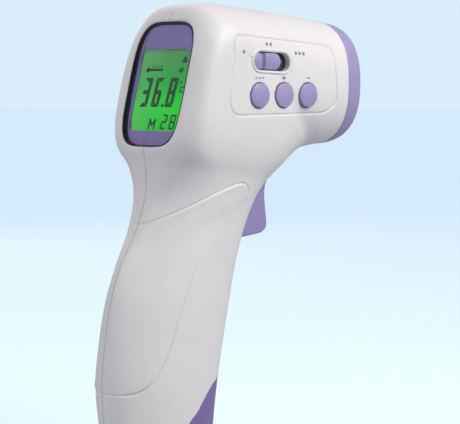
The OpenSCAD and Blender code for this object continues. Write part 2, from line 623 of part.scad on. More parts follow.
right_shell();
left_shell();
nose_ring();
sensor_hood();
sensor_holder();
ir_sensor();
sensor_filter();
sensor_board();
window_gasket();
display_lens();
display_mask();
lcd_panel();
lcd_backlight();
lcd_frame();
lcd_connector();
main_board();
main_chip();
buzzer();
key_board();
key_switches();
selector_switch();
board_screws();
shell_screws();
mode_button();
plus_button();
minus_button();
selector_knob();
selector_slide();
trigger();
trigger_pin();
trigger_spring();
trigger_board();
trigger_switch();
trigger_plunger();
battery_tray();
battery_cells();
contact_springs();
contact_tabs();
battery_leads();
sensor_leads();
battery_cover();
cover_pin();
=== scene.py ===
# A pistol-style forehead thermometer: two white shell halves, a tilted display at the
# rear of the head, keys on the right side, a sensor behind a lilac nose ring, a trigger
# under the barrel and a hinged battery cover at the toe of the grip.
import bpy, bmesh
import numpy as np
from math import sin, cos, pi, radians, hypot
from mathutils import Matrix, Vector


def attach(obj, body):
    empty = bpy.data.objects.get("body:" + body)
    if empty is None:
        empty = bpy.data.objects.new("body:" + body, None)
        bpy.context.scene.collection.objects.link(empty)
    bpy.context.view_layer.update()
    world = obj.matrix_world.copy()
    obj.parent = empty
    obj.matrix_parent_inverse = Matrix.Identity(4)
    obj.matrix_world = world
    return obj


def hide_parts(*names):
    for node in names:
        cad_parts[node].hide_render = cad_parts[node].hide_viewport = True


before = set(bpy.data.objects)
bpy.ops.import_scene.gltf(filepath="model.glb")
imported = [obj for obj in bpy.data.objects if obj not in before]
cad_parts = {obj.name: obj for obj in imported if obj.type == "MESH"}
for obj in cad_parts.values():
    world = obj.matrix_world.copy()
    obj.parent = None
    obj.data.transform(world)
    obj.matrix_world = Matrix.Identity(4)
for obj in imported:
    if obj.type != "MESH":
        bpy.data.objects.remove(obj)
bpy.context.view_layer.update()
MM = 0.001

# ---- Camera, floor and lights ----------------------------------------------------------
# The thermometer stands on its base on a pale floor. The camera is low and behind its
# right side, so the display, the keys and the trigger all show.
VIEW_AZIMUTH, VIEW_ELEVATION = radians(41.5), radians(4.0)
VIEW_DISTANCE, VIEW_FOCUS = 597.0, 1820.0          # mm, and focal length for a 460 wide frame
LOOK_AT = Vector((30.0, 0.0, 82.5))
view_dir = Vector((sin(VIEW_AZIMUTH) * cos(VIEW_ELEVATION),
                   cos(VIEW_AZIMUTH) * cos(VIEW_ELEVATION), -sin(VIEW_ELEVATION)))
camera_data = bpy.data.cameras.new("camera")
camera_data.sensor_width = 36.0
camera_data.lens = 36.0 * VIEW_FOCUS / 460.0
camera_data.clip_end = 50.0
camera = bpy.data.objects.new("camera", camera_data)
camera.location = (LOOK_AT - view_dir * VIEW_DISTANCE) * MM
camera.rotation_euler = view_dir.to_track_quat("-Z", "Y").to_euler()
bpy.context.scene.collection.objects.link(camera)
bpy.context.scene.camera = camera

for ob in bpy.context.selected_objects:
    ob.select_set(False)
bpy.ops.mesh.primitive_circle_add(vertices=96, radius=9.0, fill_type="NGON", location=(0, 0, 0))
floor = bpy.context.object
floor.name = "floor"
floor_mat = bpy.data.materials.new("pale_floor")
floor_mat.use_nodes = True
floor_look = floor_mat.node_tree.nodes["Principled BSDF"]
floor_look.inputs["Base Color"].default_value = (0.45, 0.48, 0.52, 1)
floor_look.inputs["Roughness"].default_value = 0.9
floor_look.inputs["Specular IOR Level"].default_value = 0.1
floor_look.inputs["Emission Color"].default_value = (0.46, 0.60, 0.74, 1)
seen = floor_mat.node_tree.nodes.new("ShaderNodeLightPath")
floor_mat.node_tree.links.new(seen.outputs["Is Camera Ray"],
                              floor_look.inputs["Emission Strength"])
floor.data.materials.append(floor_mat)

# pale blue behind the object, neutral light from all round on it
world = bpy.data.worlds.new("studio")
world.use_nodes = True
sky = world.node_tree.nodes["Background"]
sky.inputs["Strength"].default_value = 0.44
sky_path = world.node_tree.nodes.new("ShaderNodeLightPath")
sky_mix = world.node_tree.nodes.new("ShaderNodeMix")
sky_mix.data_type = "RGBA"
sky_mix.inputs[6].default_value = (1.0, 1.0, 1.03, 1)
sky_mix.inputs[7].default_value = (1.60, 1.93, 2.2, 1)
world.node_tree.links.new(sky_path.outputs["Is Camera Ray"], sky_mix.inputs[0])
world.node_tree.links.new(sky_mix.outputs[2], sky.inputs["Color"])
bpy.context.scene.world = world
bpy.context.scene.view_settings.view_transform = "Standard"


def soft_light(name, place, aim, width, height, power, tint=(1, 1, 1)):
    data = bpy.data.lights.new(name, "AREA")
    data.shape, data.size, data.size_y = "RECTANGLE", width, height
    data.energy, data.color = power, tint
    lamp = bpy.data.objects.new(name, data)
    lamp.location = place
    lamp.rotation_euler = (Vector(aim) - Vector(place)).to_track_quat("-Z", "Y").to_euler()
    bpy.context.scene.collection.objects.link(lamp)


soft_light("head_light", (0.16, -0.34, 0.40), (0.03, 0, 0.125), 0.22, 0.22, 1.55, (1, .985, .97))
soft_light("side_light", (0.30, -0.70, 0.10), (0.0, 0, 0.06), 0.4, 0.4, 0.5, (1, .97, .97))
soft_light("rear_light", (-0.55, 0.10, 0.40), (0, 0, 0.12), 0.4, 0.4, 1.1, (.95, .98, 1))
soft_light("far_light", (0.3, 0.8, 0.5), (0, 0, 0.1), 0.6, 0.6, 1.0)

# ---- Shell halves ---------------------------------------------------------------------------
# Two injection-moulded halves in matte off-white ABS, 2 mm thick, meeting on the middle
# plane. Each carries a slightly raised palm panel; the right one also has the key panel's
# engraved outline, the selector's raised lip and the button holes.
WALL, SEAM_GAP, SHELL_END, FLOOR_T = 2.0, 0.1, 66.0, 1.8


def shader_group(name, inputs, outputs):
    """Empty shader node group with named sockets; returns it with its two end nodes."""
    group = bpy.data.node_groups.new(name, "ShaderNodeTree")
    for label, kind, value in inputs:
        socket = group.interface.new_socket(name=label, in_out="INPUT", socket_type=kind)
        socket.default_value = value
    for label, kind in outputs:
        group.interface.new_socket(name=label, in_out="OUTPUT", socket_type=kind)
    return group, group.nodes.new("NodeGroupInput"), group.nodes.new("NodeGroupOutput")


def mix_colour(tree, factor, a, b, blend="MIX"):
    """Colour mix; factor, a and b are sockets or plain values."""
    mix = tree.nodes.new("ShaderNodeMix")
    mix.data_type, mix.blend_type = "RGBA", blend
    for socket, value in ((mix.inputs[0], factor), (mix.inputs[6], a), (mix.inputs[7], b)):
        if hasattr(value, "is_linked"):
            tree.links.new(value, socket)
        else:
            socket.default_value = value
    return mix.outputs[2]


def noise(tree, coordinate, scale, detail=2.0, rough=0.5):
    node = tree.nodes.new("ShaderNodeTexNoise")
    tree.links.new(coordinate, node.inputs["Vector"])
    if hasattr(scale, "is_linked"):
        tree.links.new(scale, node.inputs["Scale"])
    else:
        node.inputs["Scale"].default_value = scale
    node.inputs["Detail"].default_value = detail
    node.inputs["Roughness"].default_value = rough
    return node.outputs["Fac"]


def spread(tree, value, from_low, from_high, to_low, to_high):
    node = tree.nodes.new("ShaderNodeMapRange")
    tree.links.new(value, node.inputs["Value"])
    for label, number in (("From Min", from_low), ("From Max", from_high),
                          ("To Min", to_low), ("To Max", to_high)):
        if hasattr(number, "is_linked"):
            tree.links.new(number, node.inputs[label])
        else:
            node.inputs[label].default_value = number
    return node.outputs["Result"]


# spark-eroded mould grain: fine pits, faint flow clouds and handling polish
moulded_grain, ends, out = shader_group(
    "moulded_grain",
    [("Coordinate", "NodeSocketVector", (0, 0, 0)), ("Colour", "NodeSocketColor", (1, 1, 1, 1)),
     ("Cloud Colour", "NodeSocketColor", (1, 1, 1, 1)), ("Grain Size", "NodeSocketFloat", 2600.0),
     ("Dull", "NodeSocketFloat", 0.5), ("Polished", "NodeSocketFloat", 0.35)],
    [("Colour", "NodeSocketColor"), ("Roughness", "NodeSocketFloat"),
     ("Height", "NodeSocketFloat")])
pits = noise(moulded_grain, ends.outputs["Coordinate"], ends.outputs["Grain Size"], 3.0, 0.6)
clouds = noise(moulded_grain, ends.outputs["Coordinate"], 38.0, 3.0, 0.55)
rubbed = noise(moulded_grain, ends.outputs["Coordinate"], 120.0, 4.0, 0.6)
tone = spread(moulded_grain, clouds, 0.35, 0.7, 0.0, 1.0)
cloudy = mix_colour(moulded_grain, tone, ends.outputs["Colour"], ends.outputs["Cloud Colour"])
specks = spread(moulded_grain, pits, 0.25, 0.6, 0.93, 1.0)
moulded_grain.links.new(mix_colour(moulded_grain, 1.0, cloudy, specks, "MULTIPLY"),
                        out.inputs["Colour"])
moulded_grain.links.new(spread(moulded_grain, rubbed, 0.35, 0.65, ends.outputs["Polished"],
                               ends.outputs["Dull"]), out.inputs["Roughness"])
moulded_grain.links.new(pits, out.inputs["Height"])

# drawn or turned metal: fine lines one way, with a few dull patches
drawn_metal, ends, out = shader_group(
    "drawn_metal",
    [("Coordinate", "NodeSocketVector", (0, 0, 0)), ("Colour", "NodeSocketColor", (1, 1, 1, 1)),
     ("Tarnish", "NodeSocketColor", (.5, .5, .5, 1)), ("Shine", "NodeSocketFloat", 0.25)],
    [("Colour", "NodeSocketColor"), ("Roughness", "NodeSocketFloat"),
     ("Height", "NodeSocketFloat")])
stretch = drawn_metal.nodes.new("ShaderNodeMapping")
stretch.inputs["Scale"].default_value = (1.0, 12.0, 12.0)
drawn_metal.links.new(ends.outputs["Coordinate"], stretch.inputs["Vector"])
lines = noise(drawn_metal, stretch.outputs["Vector"], 420.0, 3.0, 0.6)
dull = noise(drawn_metal, ends.outputs["Coordinate"], 260.0, 3.0, 0.6)
patch = spread(drawn_metal, dull, 0.45, 0.7, 0.0, 0.6)
drawn_metal.links.new(mix_colour(drawn_metal, patch, ends.outputs["Colour"],
                                 ends.outputs["Tarnish"]), out.inputs["Colour"])
rough_high = drawn_metal.nodes.new("ShaderNodeMath")
rough_high.operation = "ADD"
rough_high.inputs[1].default_value = 0.18
drawn_metal.links.new(ends.outputs["Shine"], rough_high.inputs[0])
drawn_metal.links.new(spread(drawn_metal, lines, 0.3, 0.7, ends.outputs["Shine"],
                             rough_high.outputs[0]), out.inputs["Roughness"])
drawn_metal.links.new(lines, out.inputs["Height"])


def material_with(name, group, values, bump, distance, **shader_values):
    """Material whose colour, roughness and bump come from a surface group."""
    mat = bpy.data.materials.new(name)
    mat.use_nodes = True
    tree = mat.node_tree
    shader = tree.nodes["Principled BSDF"]
    surface = tree.nodes.new("ShaderNodeGroup")
    surface.node_tree = group
    place = tree.nodes.new("ShaderNodeTexCoord")
    tree.links.new(place.outputs["Object"], surface.inputs["Coordinate"])
    for label, value in values.items():
        surface.inputs[label].default_value = value
    tree.links.new(surface.outputs["Colour"], shader.inputs["Base Color"])
    tree.links.new(surface.outputs["Roughness"], shader.inputs["Roughness"])
    relief_node = tree.nodes.new("ShaderNodeBump")
    relief_node.inputs["Strength"].default_value = bump
    relief_node.inputs["Distance"].default_value = distance
    tree.links.new(surface.outputs["Height"], relief_node.inputs["Height"])
    tree.links.new(relief_node.outputs["Normal"], shader.inputs["Normal"])
    for label, value in shader_values.items():
        shader.inputs[label.replace("_", " ")].default_value = value
    return mat


def plastic(name, colour, cloud, grain=2600.0, dull=0.5, polished=0.35, bump=0.12,
            **shader_values):
    values = {"Colour": (*colour, 1), "Cloud Colour": (*cloud, 1), "Grain Size": grain,
              "Dull": dull, "Polished": polished}
    return material_with(name, moulded_grain, values, bump, 0.00008, **shader_values)


def metal(name, colour, tarnish, shine=0.25):
    values = {"Colour": (*colour, 1), "Tarnish": (*tarnish, 1), "Shine": shine}
    return material_with(name, drawn_metal, values, 0.08, 0.00005, Metallic=1.0)


def dress(ob, mat):
    """Give a piece, or every slot of a CAD node, one material."""
    if not ob.material_slots:
        ob.data.materials.append(mat)
    for place in ob.material_slots:
        place.material = mat


def finished(ob, mat, body, node=None):
    """Hand over a piece: its material, its body and the CAD node it stands for."""
    dress(ob, mat)
    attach(ob, body)
    if node:
        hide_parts(node)


ivory_abs = plastic("ivory_abs", (0.78, 0.755, 0.75), (0.74, 0.715, 0.72), 2200.0, 0.5, 0.4)
STATIONS = np.array([
    [17.6, 0.0, -18.4, 0.0, 11.2, 11.2, .49, .49, 2.3, 2.0],
    [18.5, 9.0, -20.7, 9.0, 12.0, 12.0, .49, .49, 2.3, 2.0],
    [19.4, 19.0, -22.5, 19.0, 12.7, 12.7, .49, .49, 2.3, 2.0],
    [21.0, 31.0, -23.2, 31.0, 13.2, 13.2, .49, .49, 2.3, 2.1],
    [23.6, 43.0, -22.1, 43.0, 13.3, 13.3, .49, .49, 2.2, 2.0],
    [26.4, 56.0, -19.8, 56.0, 13.2, 13.2, .49, .49, 2.2, 1.9],
    [29.2, 68.0, -15.8, 67.5, 13.1, 13.1, .49, .49, 2.2, 1.8],
    [33.0, 79.5, -9.6, 78.5, 13.4, 13.4, .49, .48, 2.2, 2.1],
    [36.8, 87.3, -5.8, 89.0, 14.4, 14.4, .49, .42, 2.2, 2.4],
    [40.4, 92.0, -5.4, 98.0, 16.0, 16.6, .49, .32, 2.2, 2.6],
    [43.8, 95.0, -6.4, 105.0, 18.0, 19.8, .49, .22, 2.2, 3.1],
    [46.8, 97.3, -4.8, 113.0, 19.4, 21.6, .49, .17, 2.2, 3.5],
    [49.4, 99.2, -2.2, 123.0, 20.2, 21.9, .49, .15, 2.2, 3.6],
    [51.8, 100.6, 0.4, 133.0, 20.5, 21.8, .49, .16, 2.2, 3.6],
    [54.2, 101.8, 3.2, 142.0, 20.6, 21.5, .49, .20, 2.2, 3.3],
    [56.4, 102.6, 7.0, 148.6, 20.4, 21.2, .49, .32, 2.2, 3.0],
    [58.6, 103.2, 14.5, 150.2, 20.35, 20.65, .49, .42, 2.3, 2.8],
    [60.8, 103.6, 27.0, 149.4, 20.25, 20.3, .49, .46, 2.4, 2.7],
    [63.0, 103.9, 41.0, 148.2, 19.9, 19.9, .49, .48, 2.4, 2.6],
    [65.2, 104.1, 54.0, 146.9, 19.45, 19.45, .49, .49, 2.4, 2.5],
    [67.0, 104.2, 63.0, 145.9, 19.05, 19.05, .49, .49, 2.4, 2.4],
    [68.0, 104.3, 68.0, 145.3, 18.8, 18.8, .49, .49, 2.4, 2.4]])
LAST = len(STATIONS) - 1


def curve(a, b, c, d, t):
    """Point between b and c on the smooth curve through a, b, c and d."""
    return 0.5 * (2 * b + (c - a) * t + (2 * a - 5 * b + 4 * c - d) * t ** 2
                  + (3 * b - a - 3 * c + d) * t ** 3)


def station_at(u):
    """Smooth row of the body at position u, for arrays of u."""
    i = np.clip(np.floor(u).astype(int), 0, LAST - 1)
    t = (u - i)[:, None]
    a, b = STATIONS[np.maximum(i - 1, 0)], STATIONS[i]
    c, d = STATIONS[i + 1], STATIONS[np.minimum(i + 2, LAST)]
    return curve(a, b, c, d, t)


def skin(u, w):
    """Points of the outer skin in mm; w runs 0..1 front, 1..2 side, 2..3 rear."""
    s = station_at(u)
    front, rear = w <= 1, w >= 2
    a = np.where(front, w, np.where(rear, w - 2, 0)) * pi / 2
    p = np.where(front, s[:, 8], s[:, 9])
    c, n = np.abs(np.cos(a)), np.abs(np.sin(a))
    r = (c ** p + n ** p) ** (-1 / p)
    side = np.clip(w - 1, 0, 1)
    q = np.where(front, s[:, 6] * (1 - c * r),
                 np.where(rear, 1 - s[:, 7] + s[:, 7] * n * r,
                          s[:, 6] + (1 - s[:, 7] - s[:, 6]) * side))
    y = np.where(front, s[:, 4] * n * r,
                 np.where(rear, s[:, 5] * c * r, s[:, 4] + (s[:, 5] - s[:, 4]) * side))
    return np.stack([s[:, 0] + (s[:, 2] - s[:, 0]) * q, np.maximum(y, 0),
                     s[:, 1] + (s[:, 3] - s[:, 1]) * q], 1)


def skin_normal(u, w):
    du = skin(np.minimum(u + .01, LAST), w) - skin(np.maximum(u - .01, 0), w)
    wide = np.where((w > 1) & (w < 2), 0.52, 0.012)
    lo, hi = np.maximum(w - wide, 0), np.minimum(w + wide, 3)
    dw = skin(u, hi) - skin(u, lo)
    seam = (w <= 0) | (w >= 3)
    dw = np.where(seam[:, None], np.stack([0 * w, np.where(w <= 0, 1.0, -1.0), 0 * w], 1), dw)
    n = np.cross(dw, du)
    n[:, 1] = np.where(seam, 0, n[:, 1])
    return n / np.linalg.norm(n, axis=1)[:, None]


WINDOW_C, WINDOW_TILT = np.array([-1.4, 0.0, 124.6]), radians(14)
WINDOW_HALF, WINDOW_POWER = (14.1, 20.4), 4.3
W_IN = np.array([cos(WINDOW_TILT), 0, -sin(WINDOW_TILT)])
W_UP = np.array([sin(WINDOW_TILT), 0, cos(WINDOW_TILT)])


def barrel_distance(a, b, half_a, half_b):
    """Distance outside the bulging window outline, negative inside it."""
    p = WINDOW_POWER
    f = ((np.abs(a) / half_a) ** p + (np.abs(b) / half_b) ** p) ** (1 / p)
    return (f - 1) * np.hypot(a, b) / np.maximum(f, 1e-6)


def path_distance(x, z, path, closed=False):
    """Distance to a broken line, and how far along it (0..1) the nearest point is."""
    pts = np.array(path, float)
    if closed:
        pts = np.vstack([pts, pts[:1]])
    best = np.full(x.shape, 1e9)
    along = np.zeros(x.shape)
    total = np.linalg.norm(np.diff(pts, axis=0), axis=1).sum()
    run = 0.0
    for a, b in zip(pts[:-1], pts[1:]):
        d = b - a
        length = hypot(*d)
        t = np.clip(((x - a[0]) * d[0] + (z - a[1]) * d[1]) / length ** 2, 0, 1)
        dist = np.hypot(x - a[0] - t * d[0], z - a[1] - t * d[1])
        nearer = dist < best
        best = np.where(nearer, dist, best)
        along = np.where(nearer, (run + t * length) / total, along)
        run += length
    return best, along


def inside(x, z, path):
    pts = np.array(path, float)
    hit = np.zeros(x.shape, bool)
    for (ax, az), (bx, bz) in zip(pts, np.roll(pts, -1, axis=0)):
        cross = (az > z) != (bz > z)
        t = (z - az) / np.where(bz == az, 1e-9, bz - az)
        hit ^= cross & (x < ax + t * (bx - ax))
    return hit


def smooth_path(points, steps=8):
    """Round curve through the points of an outline."""
    p = np.array(points, float)
    n = len(p)
    out = []
    for i in range(n - 1):
        a, b, c, d = p[max(i - 1, 0)], p[i], p[i + 1], p[min(i + 2, n - 1)]
        out += [curve(a, b, c, d, k / steps) for k in range(steps)]
    return np.array(out + [p[-1]])


def corner_path(points, r, steps=5):
    """Closed outline with each corner replaced by an arc-like curve."""
    p = np.array(points, float)
    out = []
    for i in range(len(p)):
        a, b, c = p[i - 1], p[i], p[(i + 1) % len(p)]
        ra = min(r, 0.45 * np.linalg.norm(a - b))
        rc = min(r, 0.45 * np.linalg.norm(c - b))
        s, e = b + (a - b) / np.linalg.norm(a - b) * ra, b + (c - b) / np.linalg.norm(c - b) * rc
        for k in range(steps + 1):
            t = k / steps
            out.append((1 - t) ** 2 * s + 2 * t * (1 - t) * b + t ** 2 * e)
    return np.array(out)


PANEL = corner_path([(13.4, 139.8), (58.6, 136.8), (60.2, 117.6), (55.4, 114.9),
                     (13.0, 114.4), (10.6, 119.0)], 3.0)
LEAF_TOP = smooth_path([(-12.0, 77.6), (-8.2, 80.4), (-5.2, 82.3), (2.0, 85.9), (9.8, 89.3),
                        (15.5, 91.3), (20.1, 92.5), (22.9, 92.3), (24.6, 91.0), (25.7, 89.2),
                        (26.6, 86.6)])
LEAF_LOW = smooth_path([(14.6, 77.2), (9.0, 71.6), (4.1, 65.9), (1.0, 61.0), (-1.3, 55.7),
                        (-3.4, 50.8), (-5.0, 46.1), (-6.6, 41.8), (-8.6, 37.8), (-11.0, 34.0),
                        (-14.0, 30.9), (-17.0, 29.2), (-20.5, 28.5), (-26.0, 28.8)])
LEAF = np.vstack([LEAF_TOP, [(25.5, 84.0)], LEAF_LOW, [(-34.0, 30.0), (-30.0, 70.0)]])
SLOT_C, SLOT_L, SLOT_H, SLOT_SLOPE = (29.4, 131.5), 16.0, 5.9, radians(2.4)
BUTTON_X, BUTTON_Z, BUTTON_D, BUTTON_GAP = (24.0, 35.0, 46.0), 120.8, 7.8, 0.3
HINGE, NOSE_R, COVER_R = (12.6, 7.8), 5.6, 14.3
TRIGGER_W, TRIGGER_GAP = 12.0, 0.3


def cover_edge(grow):
    """Outline of the battery cover's side of the joint, seen from the side."""
    arc = [(HINGE[0] + (COVER_R + grow) * cos(radians(a)),
            HINGE[1] + (COVER_R + grow) * sin(radians(a))) for a in range(206, 124, -4)]
    line = [(6.0 - grow * .7, 21.1 + grow * .7), (8.2 - grow * .8, 23.8 + grow * .6),
            (10.6 - grow * .7, 26.4 + grow * .7), (13.2 - grow * .6, 28.3 + grow * .8),
            (17.0 - grow * .5, 30.3 + grow * .9), (24.0 - grow * .5, 34.0 + grow * .9)]
    return arc + [tuple(p) for p in smooth_path([arc[-1]] + line, 5)[1:]]


COVER_TAIL = [(34.0, 35.3), (34.0, -9.0), (-0.6, -9.0)]
TRIGGER_SLOT = [(24.0, 73.9), (50.0, 73.9), (50.0, 91.5), (44.8, 92.6), (41.2, 97.4),
                (41.2, 99.0), (24.0, 99.0)]


def slot_distance(x, z):
    dx, dz = x - SLOT_C[0], z - SLOT_C[1]
    a = dx * cos(SLOT_SLOPE) - dz * sin(SLOT_SLOPE)
    b = dx * sin(SLOT_SLOPE) + dz * cos(SLOT_SLOPE)
    flat = np.maximum(np.abs(a) - (SLOT_L - SLOT_H) / 2, 0)
    return np.hypot(flat, b) - SLOT_H / 2


def rounded(d, r):
    """How far an edge of radius r drops below the skin at distance d from the opening."""
    t = np.clip(1 - np.maximum(d, 0) / r, 0, 1)
    return -r * (1 - np.sqrt(np.maximum(1 - t ** 2, 0)))


def ramp(t):
    t = np.clip(t, 0, 1)
    return t * t * (3 - 2 * t)


LEAF_STEP, LEAF_GROOVE = 0.42, 0.30        # palm panel: height, and depth of its outline
PANEL_GROOVE, PANEL_GROOVE_W = 0.38, 0.28  # key panel's engraved outline
LIP_RISE, LIP_W, LIP_GROOVE = 0.40, 0.65, 0.12
CUT_GAP = 0.3                              # gap between the battery cover and the shells
FAR = 99.0                                 # stands for "nowhere near"


def relief(p, keys):
    """Rise of the moulded detail above the plain skin, and the distance to that detail."""
    x, y, z = p.T
    rise = rounded(y - SEAM_GAP / 2, 0.35)
    near = np.maximum(y - 0.5, 0)
    rel = p - WINDOW_C
    window = barrel_distance(rel[:, 1], rel @ W_UP, *WINDOW_HALF)
    window = np.where(x < 14, window, FAR)
    rise = rise + rounded(window, 0.9)
    near = np.minimum(near, np.maximum(np.abs(window - 0.3) - 0.9, 0))
    # palm panel: a raised leaf that fades out towards the trigger
    top, along_top = path_distance(x, z, LEAF_TOP)
    low, along_low = path_distance(x, z, LEAF_LOW)
    fade = np.where(top < low, 1 - ramp((along_top - 0.93) / 0.07), ramp(along_low / 0.16))
    edge = np.minimum(top, low)
    sign = np.where(inside(x, z, LEAF), 1, -1)
    step = LEAF_STEP * ramp(0.5 + sign * edge / 0.5)
    groove = -LEAF_GROOVE * np.exp(-((sign * edge + 0.32) / 0.24) ** 2)
    grip = z < 96
    sunk = ramp((-13 - x) / 6)
    inner = np.where(sign > 0, 1, edge < 2) * np.exp(-np.maximum(edge - 9, 0) / 9)
    lower = (step - LEAF_STEP) * np.exp(-np.maximum(edge - 1, 0) / 5)
    flat = ramp((y - 6) / 6.5)
    rise = rise + np.where(grip, fade * (groove * inner + (1 - sunk) * step * inner * flat
                                         + sunk * flat * lower), 0)
    near = np.minimum(near, np.where(grip, np.maximum(edge - 0.9, 0), FAR))
    # rims of the cover opening, the nose end and the trigger opening
    cover, _ = path_distance(x, z, cover_edge(CUT_GAP))
    toe = z < 40
    cover = np.where(inside(x, z, cover_edge(CUT_GAP) + COVER_TAIL), -cover, cover)
    rise = rise + np.where(toe & (cover > 0), rounded(cover, 0.35), 0)
    near = np.minimum(near, np.where(toe, np.maximum(np.abs(cover) - 0.5, 0), FAR))
    end = SHELL_END - x
    rise = rise + rounded(end, 0.45)
    near = np.minimum(near, np.maximum(np.abs(end) - 0.6, 0))
    gate, _ = path_distance(x, z, TRIGGER_SLOT, closed=True)
    side = TRIGGER_W / 2 + TRIGGER_GAP
    in_gate = inside(x, z, TRIGGER_SLOT)
    gate = np.where(in_gate, np.maximum(y - side, np.where(y > side, -FAR, -gate)),
                    np.where(y < side, gate, np.hypot(gate, y - side)))
    trig = (z > 70) & (z < 101) & (x > 20)
    rise = rise + np.where(trig & (gate > 0), rounded(gate, 0.5), 0)
    near = np.minimum(near, np.where(trig, np.maximum(np.abs(gate) - 0.6, 0), FAR))
    if keys:
        line, _ = path_distance(x, z, PANEL, closed=True)
        rise = rise - PANEL_GROOVE * np.exp(-(line / PANEL_GROOVE_W) ** 2)
        near = np.minimum(near, np.maximum(line - 0.6, 0))
        lip = slot_distance(x, z)
        ridge = LIP_RISE * ramp(lip / 0.3) * (1 - ramp((lip - LIP_W) / 0.4))
        hollow = LIP_GROOVE * np.exp(-((lip - 1.25) / 0.2) ** 2)
        rise = rise + np.where(lip < 2.2, ridge - hollow, 0)
        near = np.minimum(near, np.maximum(np.abs(lip - 0.8) - 1.0, 0))
        for bx in BUTTON_X:
            hole = np.hypot(x - bx, z - BUTTON_Z) - BUTTON_D / 2 - BUTTON_GAP
            rise = rise + np.where(hole > 0, rounded(hole, 0.4), 0)
            near = np.minimum(near, np.maximum(np.abs(hole) - 0.5, 0))
    return rise, near


def u_lines(start, stop, per_span):
    return np.linspace(start, stop, int(round((stop - start) * per_span)) + 1)


def w_lines(seam=True):
    lines = list(np.linspace(0, 1, 21)) + list(np.linspace(1, 2, 7))[1:] \
        + list(np.linspace(2, 3, 23))[1:]
    if seam:
        extra = [.004, .009, .016, .028]
        lines = sorted(lines + extra + [3 - e * .55 for e in extra])
    return np.array(lines)


def refined_grid(us, ws, near_of, levels=3, fine=0.17):
    """Quad cells over (u, w), split again wherever moulded detail is close."""
    unit = 2 ** levels
    pos_u = np.interp(np.arange((len(us) - 1) * unit + 1) / unit, np.arange(len(us)), us)
    pos_w = np.interp(np.arange((len(ws) - 1) * unit + 1) / unit, np.arange(len(ws)), ws)
    cells = [(i * unit, j * unit) for i in range(len(us) - 1) for j in range(len(ws) - 1)]
    size, done = unit, []
    while size > 1 and cells:
        c = np.array(cells)
        half = size / 2
        cu = np.interp(c[:, 0] + half, np.arange(len(pos_u)), pos_u)
        cw = np.interp(c[:, 1] + half, np.arange(len(pos_w)), pos_w)
        centre = skin(cu, cw)
        corner = skin(pos_u[c[:, 0]], pos_w[c[:, 1]])
        reach = np.linalg.norm(centre - corner, axis=1)
        split = (near_of(centre) < reach * 1.05) & (reach > fine)
        done += [(i, j, size) for i, j in c[~split]]
        h = size // 2
        cells = [(i + a, j + b) for i, j in c[split] for a in (0, h) for b in (0, h)]
        size = h
    done += [(i, j, size) for i, j in cells]
    corners = {(i + a, j + b) for i, j, s in done for a in (0, s) for b in (0, s)}
    index, uv, faces = {}, [], []

    def vertex(key):
        if key not in index:
            index[key] = len(uv)
            uv.append((pos_u[key[0]], pos_w[key[1]]))
        return index[key]

    for i, j, s in done:
        ring = [(i, j)] + [(i + k, j) for k in range(1, s) if (i + k, j) in corners]
        ring += [(i + s, j)] + [(i + s, j + k) for k in range(1, s) if (i + s, j + k) in corners]
        ring += [(i + s, j + s)] + [(i + s - k, j + s) for k in range(1, s)
                                    if (i + s - k, j + s) in corners]
        ring += [(i, j + s)] + [(i, j + s - k) for k in range(1, s) if (i, j + s - k) in corners]
        loop = [vertex(k) for k in ring]
        if len(loop) == 4:
            faces.append(tuple(loop))
        else:
            mid = len(uv)
            uv.append((0.5 * (pos_u[i] + pos_u[i + s]), 0.5 * (pos_w[j] + pos_w[j + s])))
            faces += [(loop[k], loop[(k + 1) % len(loop)], mid) for k in range(len(loop))]
    return np.array(uv), faces


def boundary_edges(faces):
    seen = {}
    for f in faces:
        for a, b in zip(f, f[1:] + f[:1]):
            seen[(a, b)] = True
    return [(a, b) for (a, b) in seen if (b, a) not in seen]


def new_piece(name, points, faces):
    """Mesh object from points in mm."""
    mesh = bpy.data.meshes.new(name)
    mesh.from_pydata([tuple(np.array(p) * MM) for p in points], [], [tuple(f) for f in faces])
    mesh.update()
    ob = bpy.data.objects.new(name, mesh)
    bpy.context.scene.collection.objects.link(ob)
    return ob


def turn_outwards(ob):
    bm = bmesh.new()
    bm.from_mesh(ob.data)
    bmesh.ops.recalc_face_normals(bm, faces=bm.faces)
    bm.to_mesh(ob.data)
    bm.free()


def only(ob):
    """Make one object the selected and active one."""
    bpy.ops.object.select_all(action="DESELECT")
    ob.select_set(True)
    bpy.context.view_layer.objects.active = ob


def smooth_by_angle(ob, degrees=32):
    only(ob)
    bpy.ops.object.shade_smooth_by_angle(angle=radians(degrees))


def block(name, pts):
    """Closed block from the points of its first end, then those of its second."""
    n = len(pts) // 2
    faces = [tuple(range(n)), tuple(range(2 * n - 1, n - 1, -1))]
    faces += [(i, i + n, (i + 1) % n + n, (i + 1) % n) for i in range(n)]
    ob = new_piece(name, pts, faces)
    turn_outwards(ob)
    return ob


def prism(name, outline, a, b):
    """Block with an outline in the x-z plane, from y = a to y = b, in mm."""
    return block(name, [(p[0], y, p[1]) for y in (a, b) for p in outline])


def rod(name, x, z, d, a, b, sides=72):
    return prism(name, [(x + d / 2 * cos(2 * pi * k / sides), z + d / 2 * sin(2 * pi * k / sides))
                        for k in range(sides)], a, b)


def round_rect_outline(w, h, r, steps=14):
    out = []
    for k, (sa, sb) in enumerate([(1, 1), (-1, 1), (-1, -1), (1, -1)]):
        for i in range(steps + 1):
            t = pi / 2 * (k + i / steps)
            out.append((sa * (w / 2 - r) + r * cos(t), sb * (h / 2 - r) + r * sin(t)))
    return out


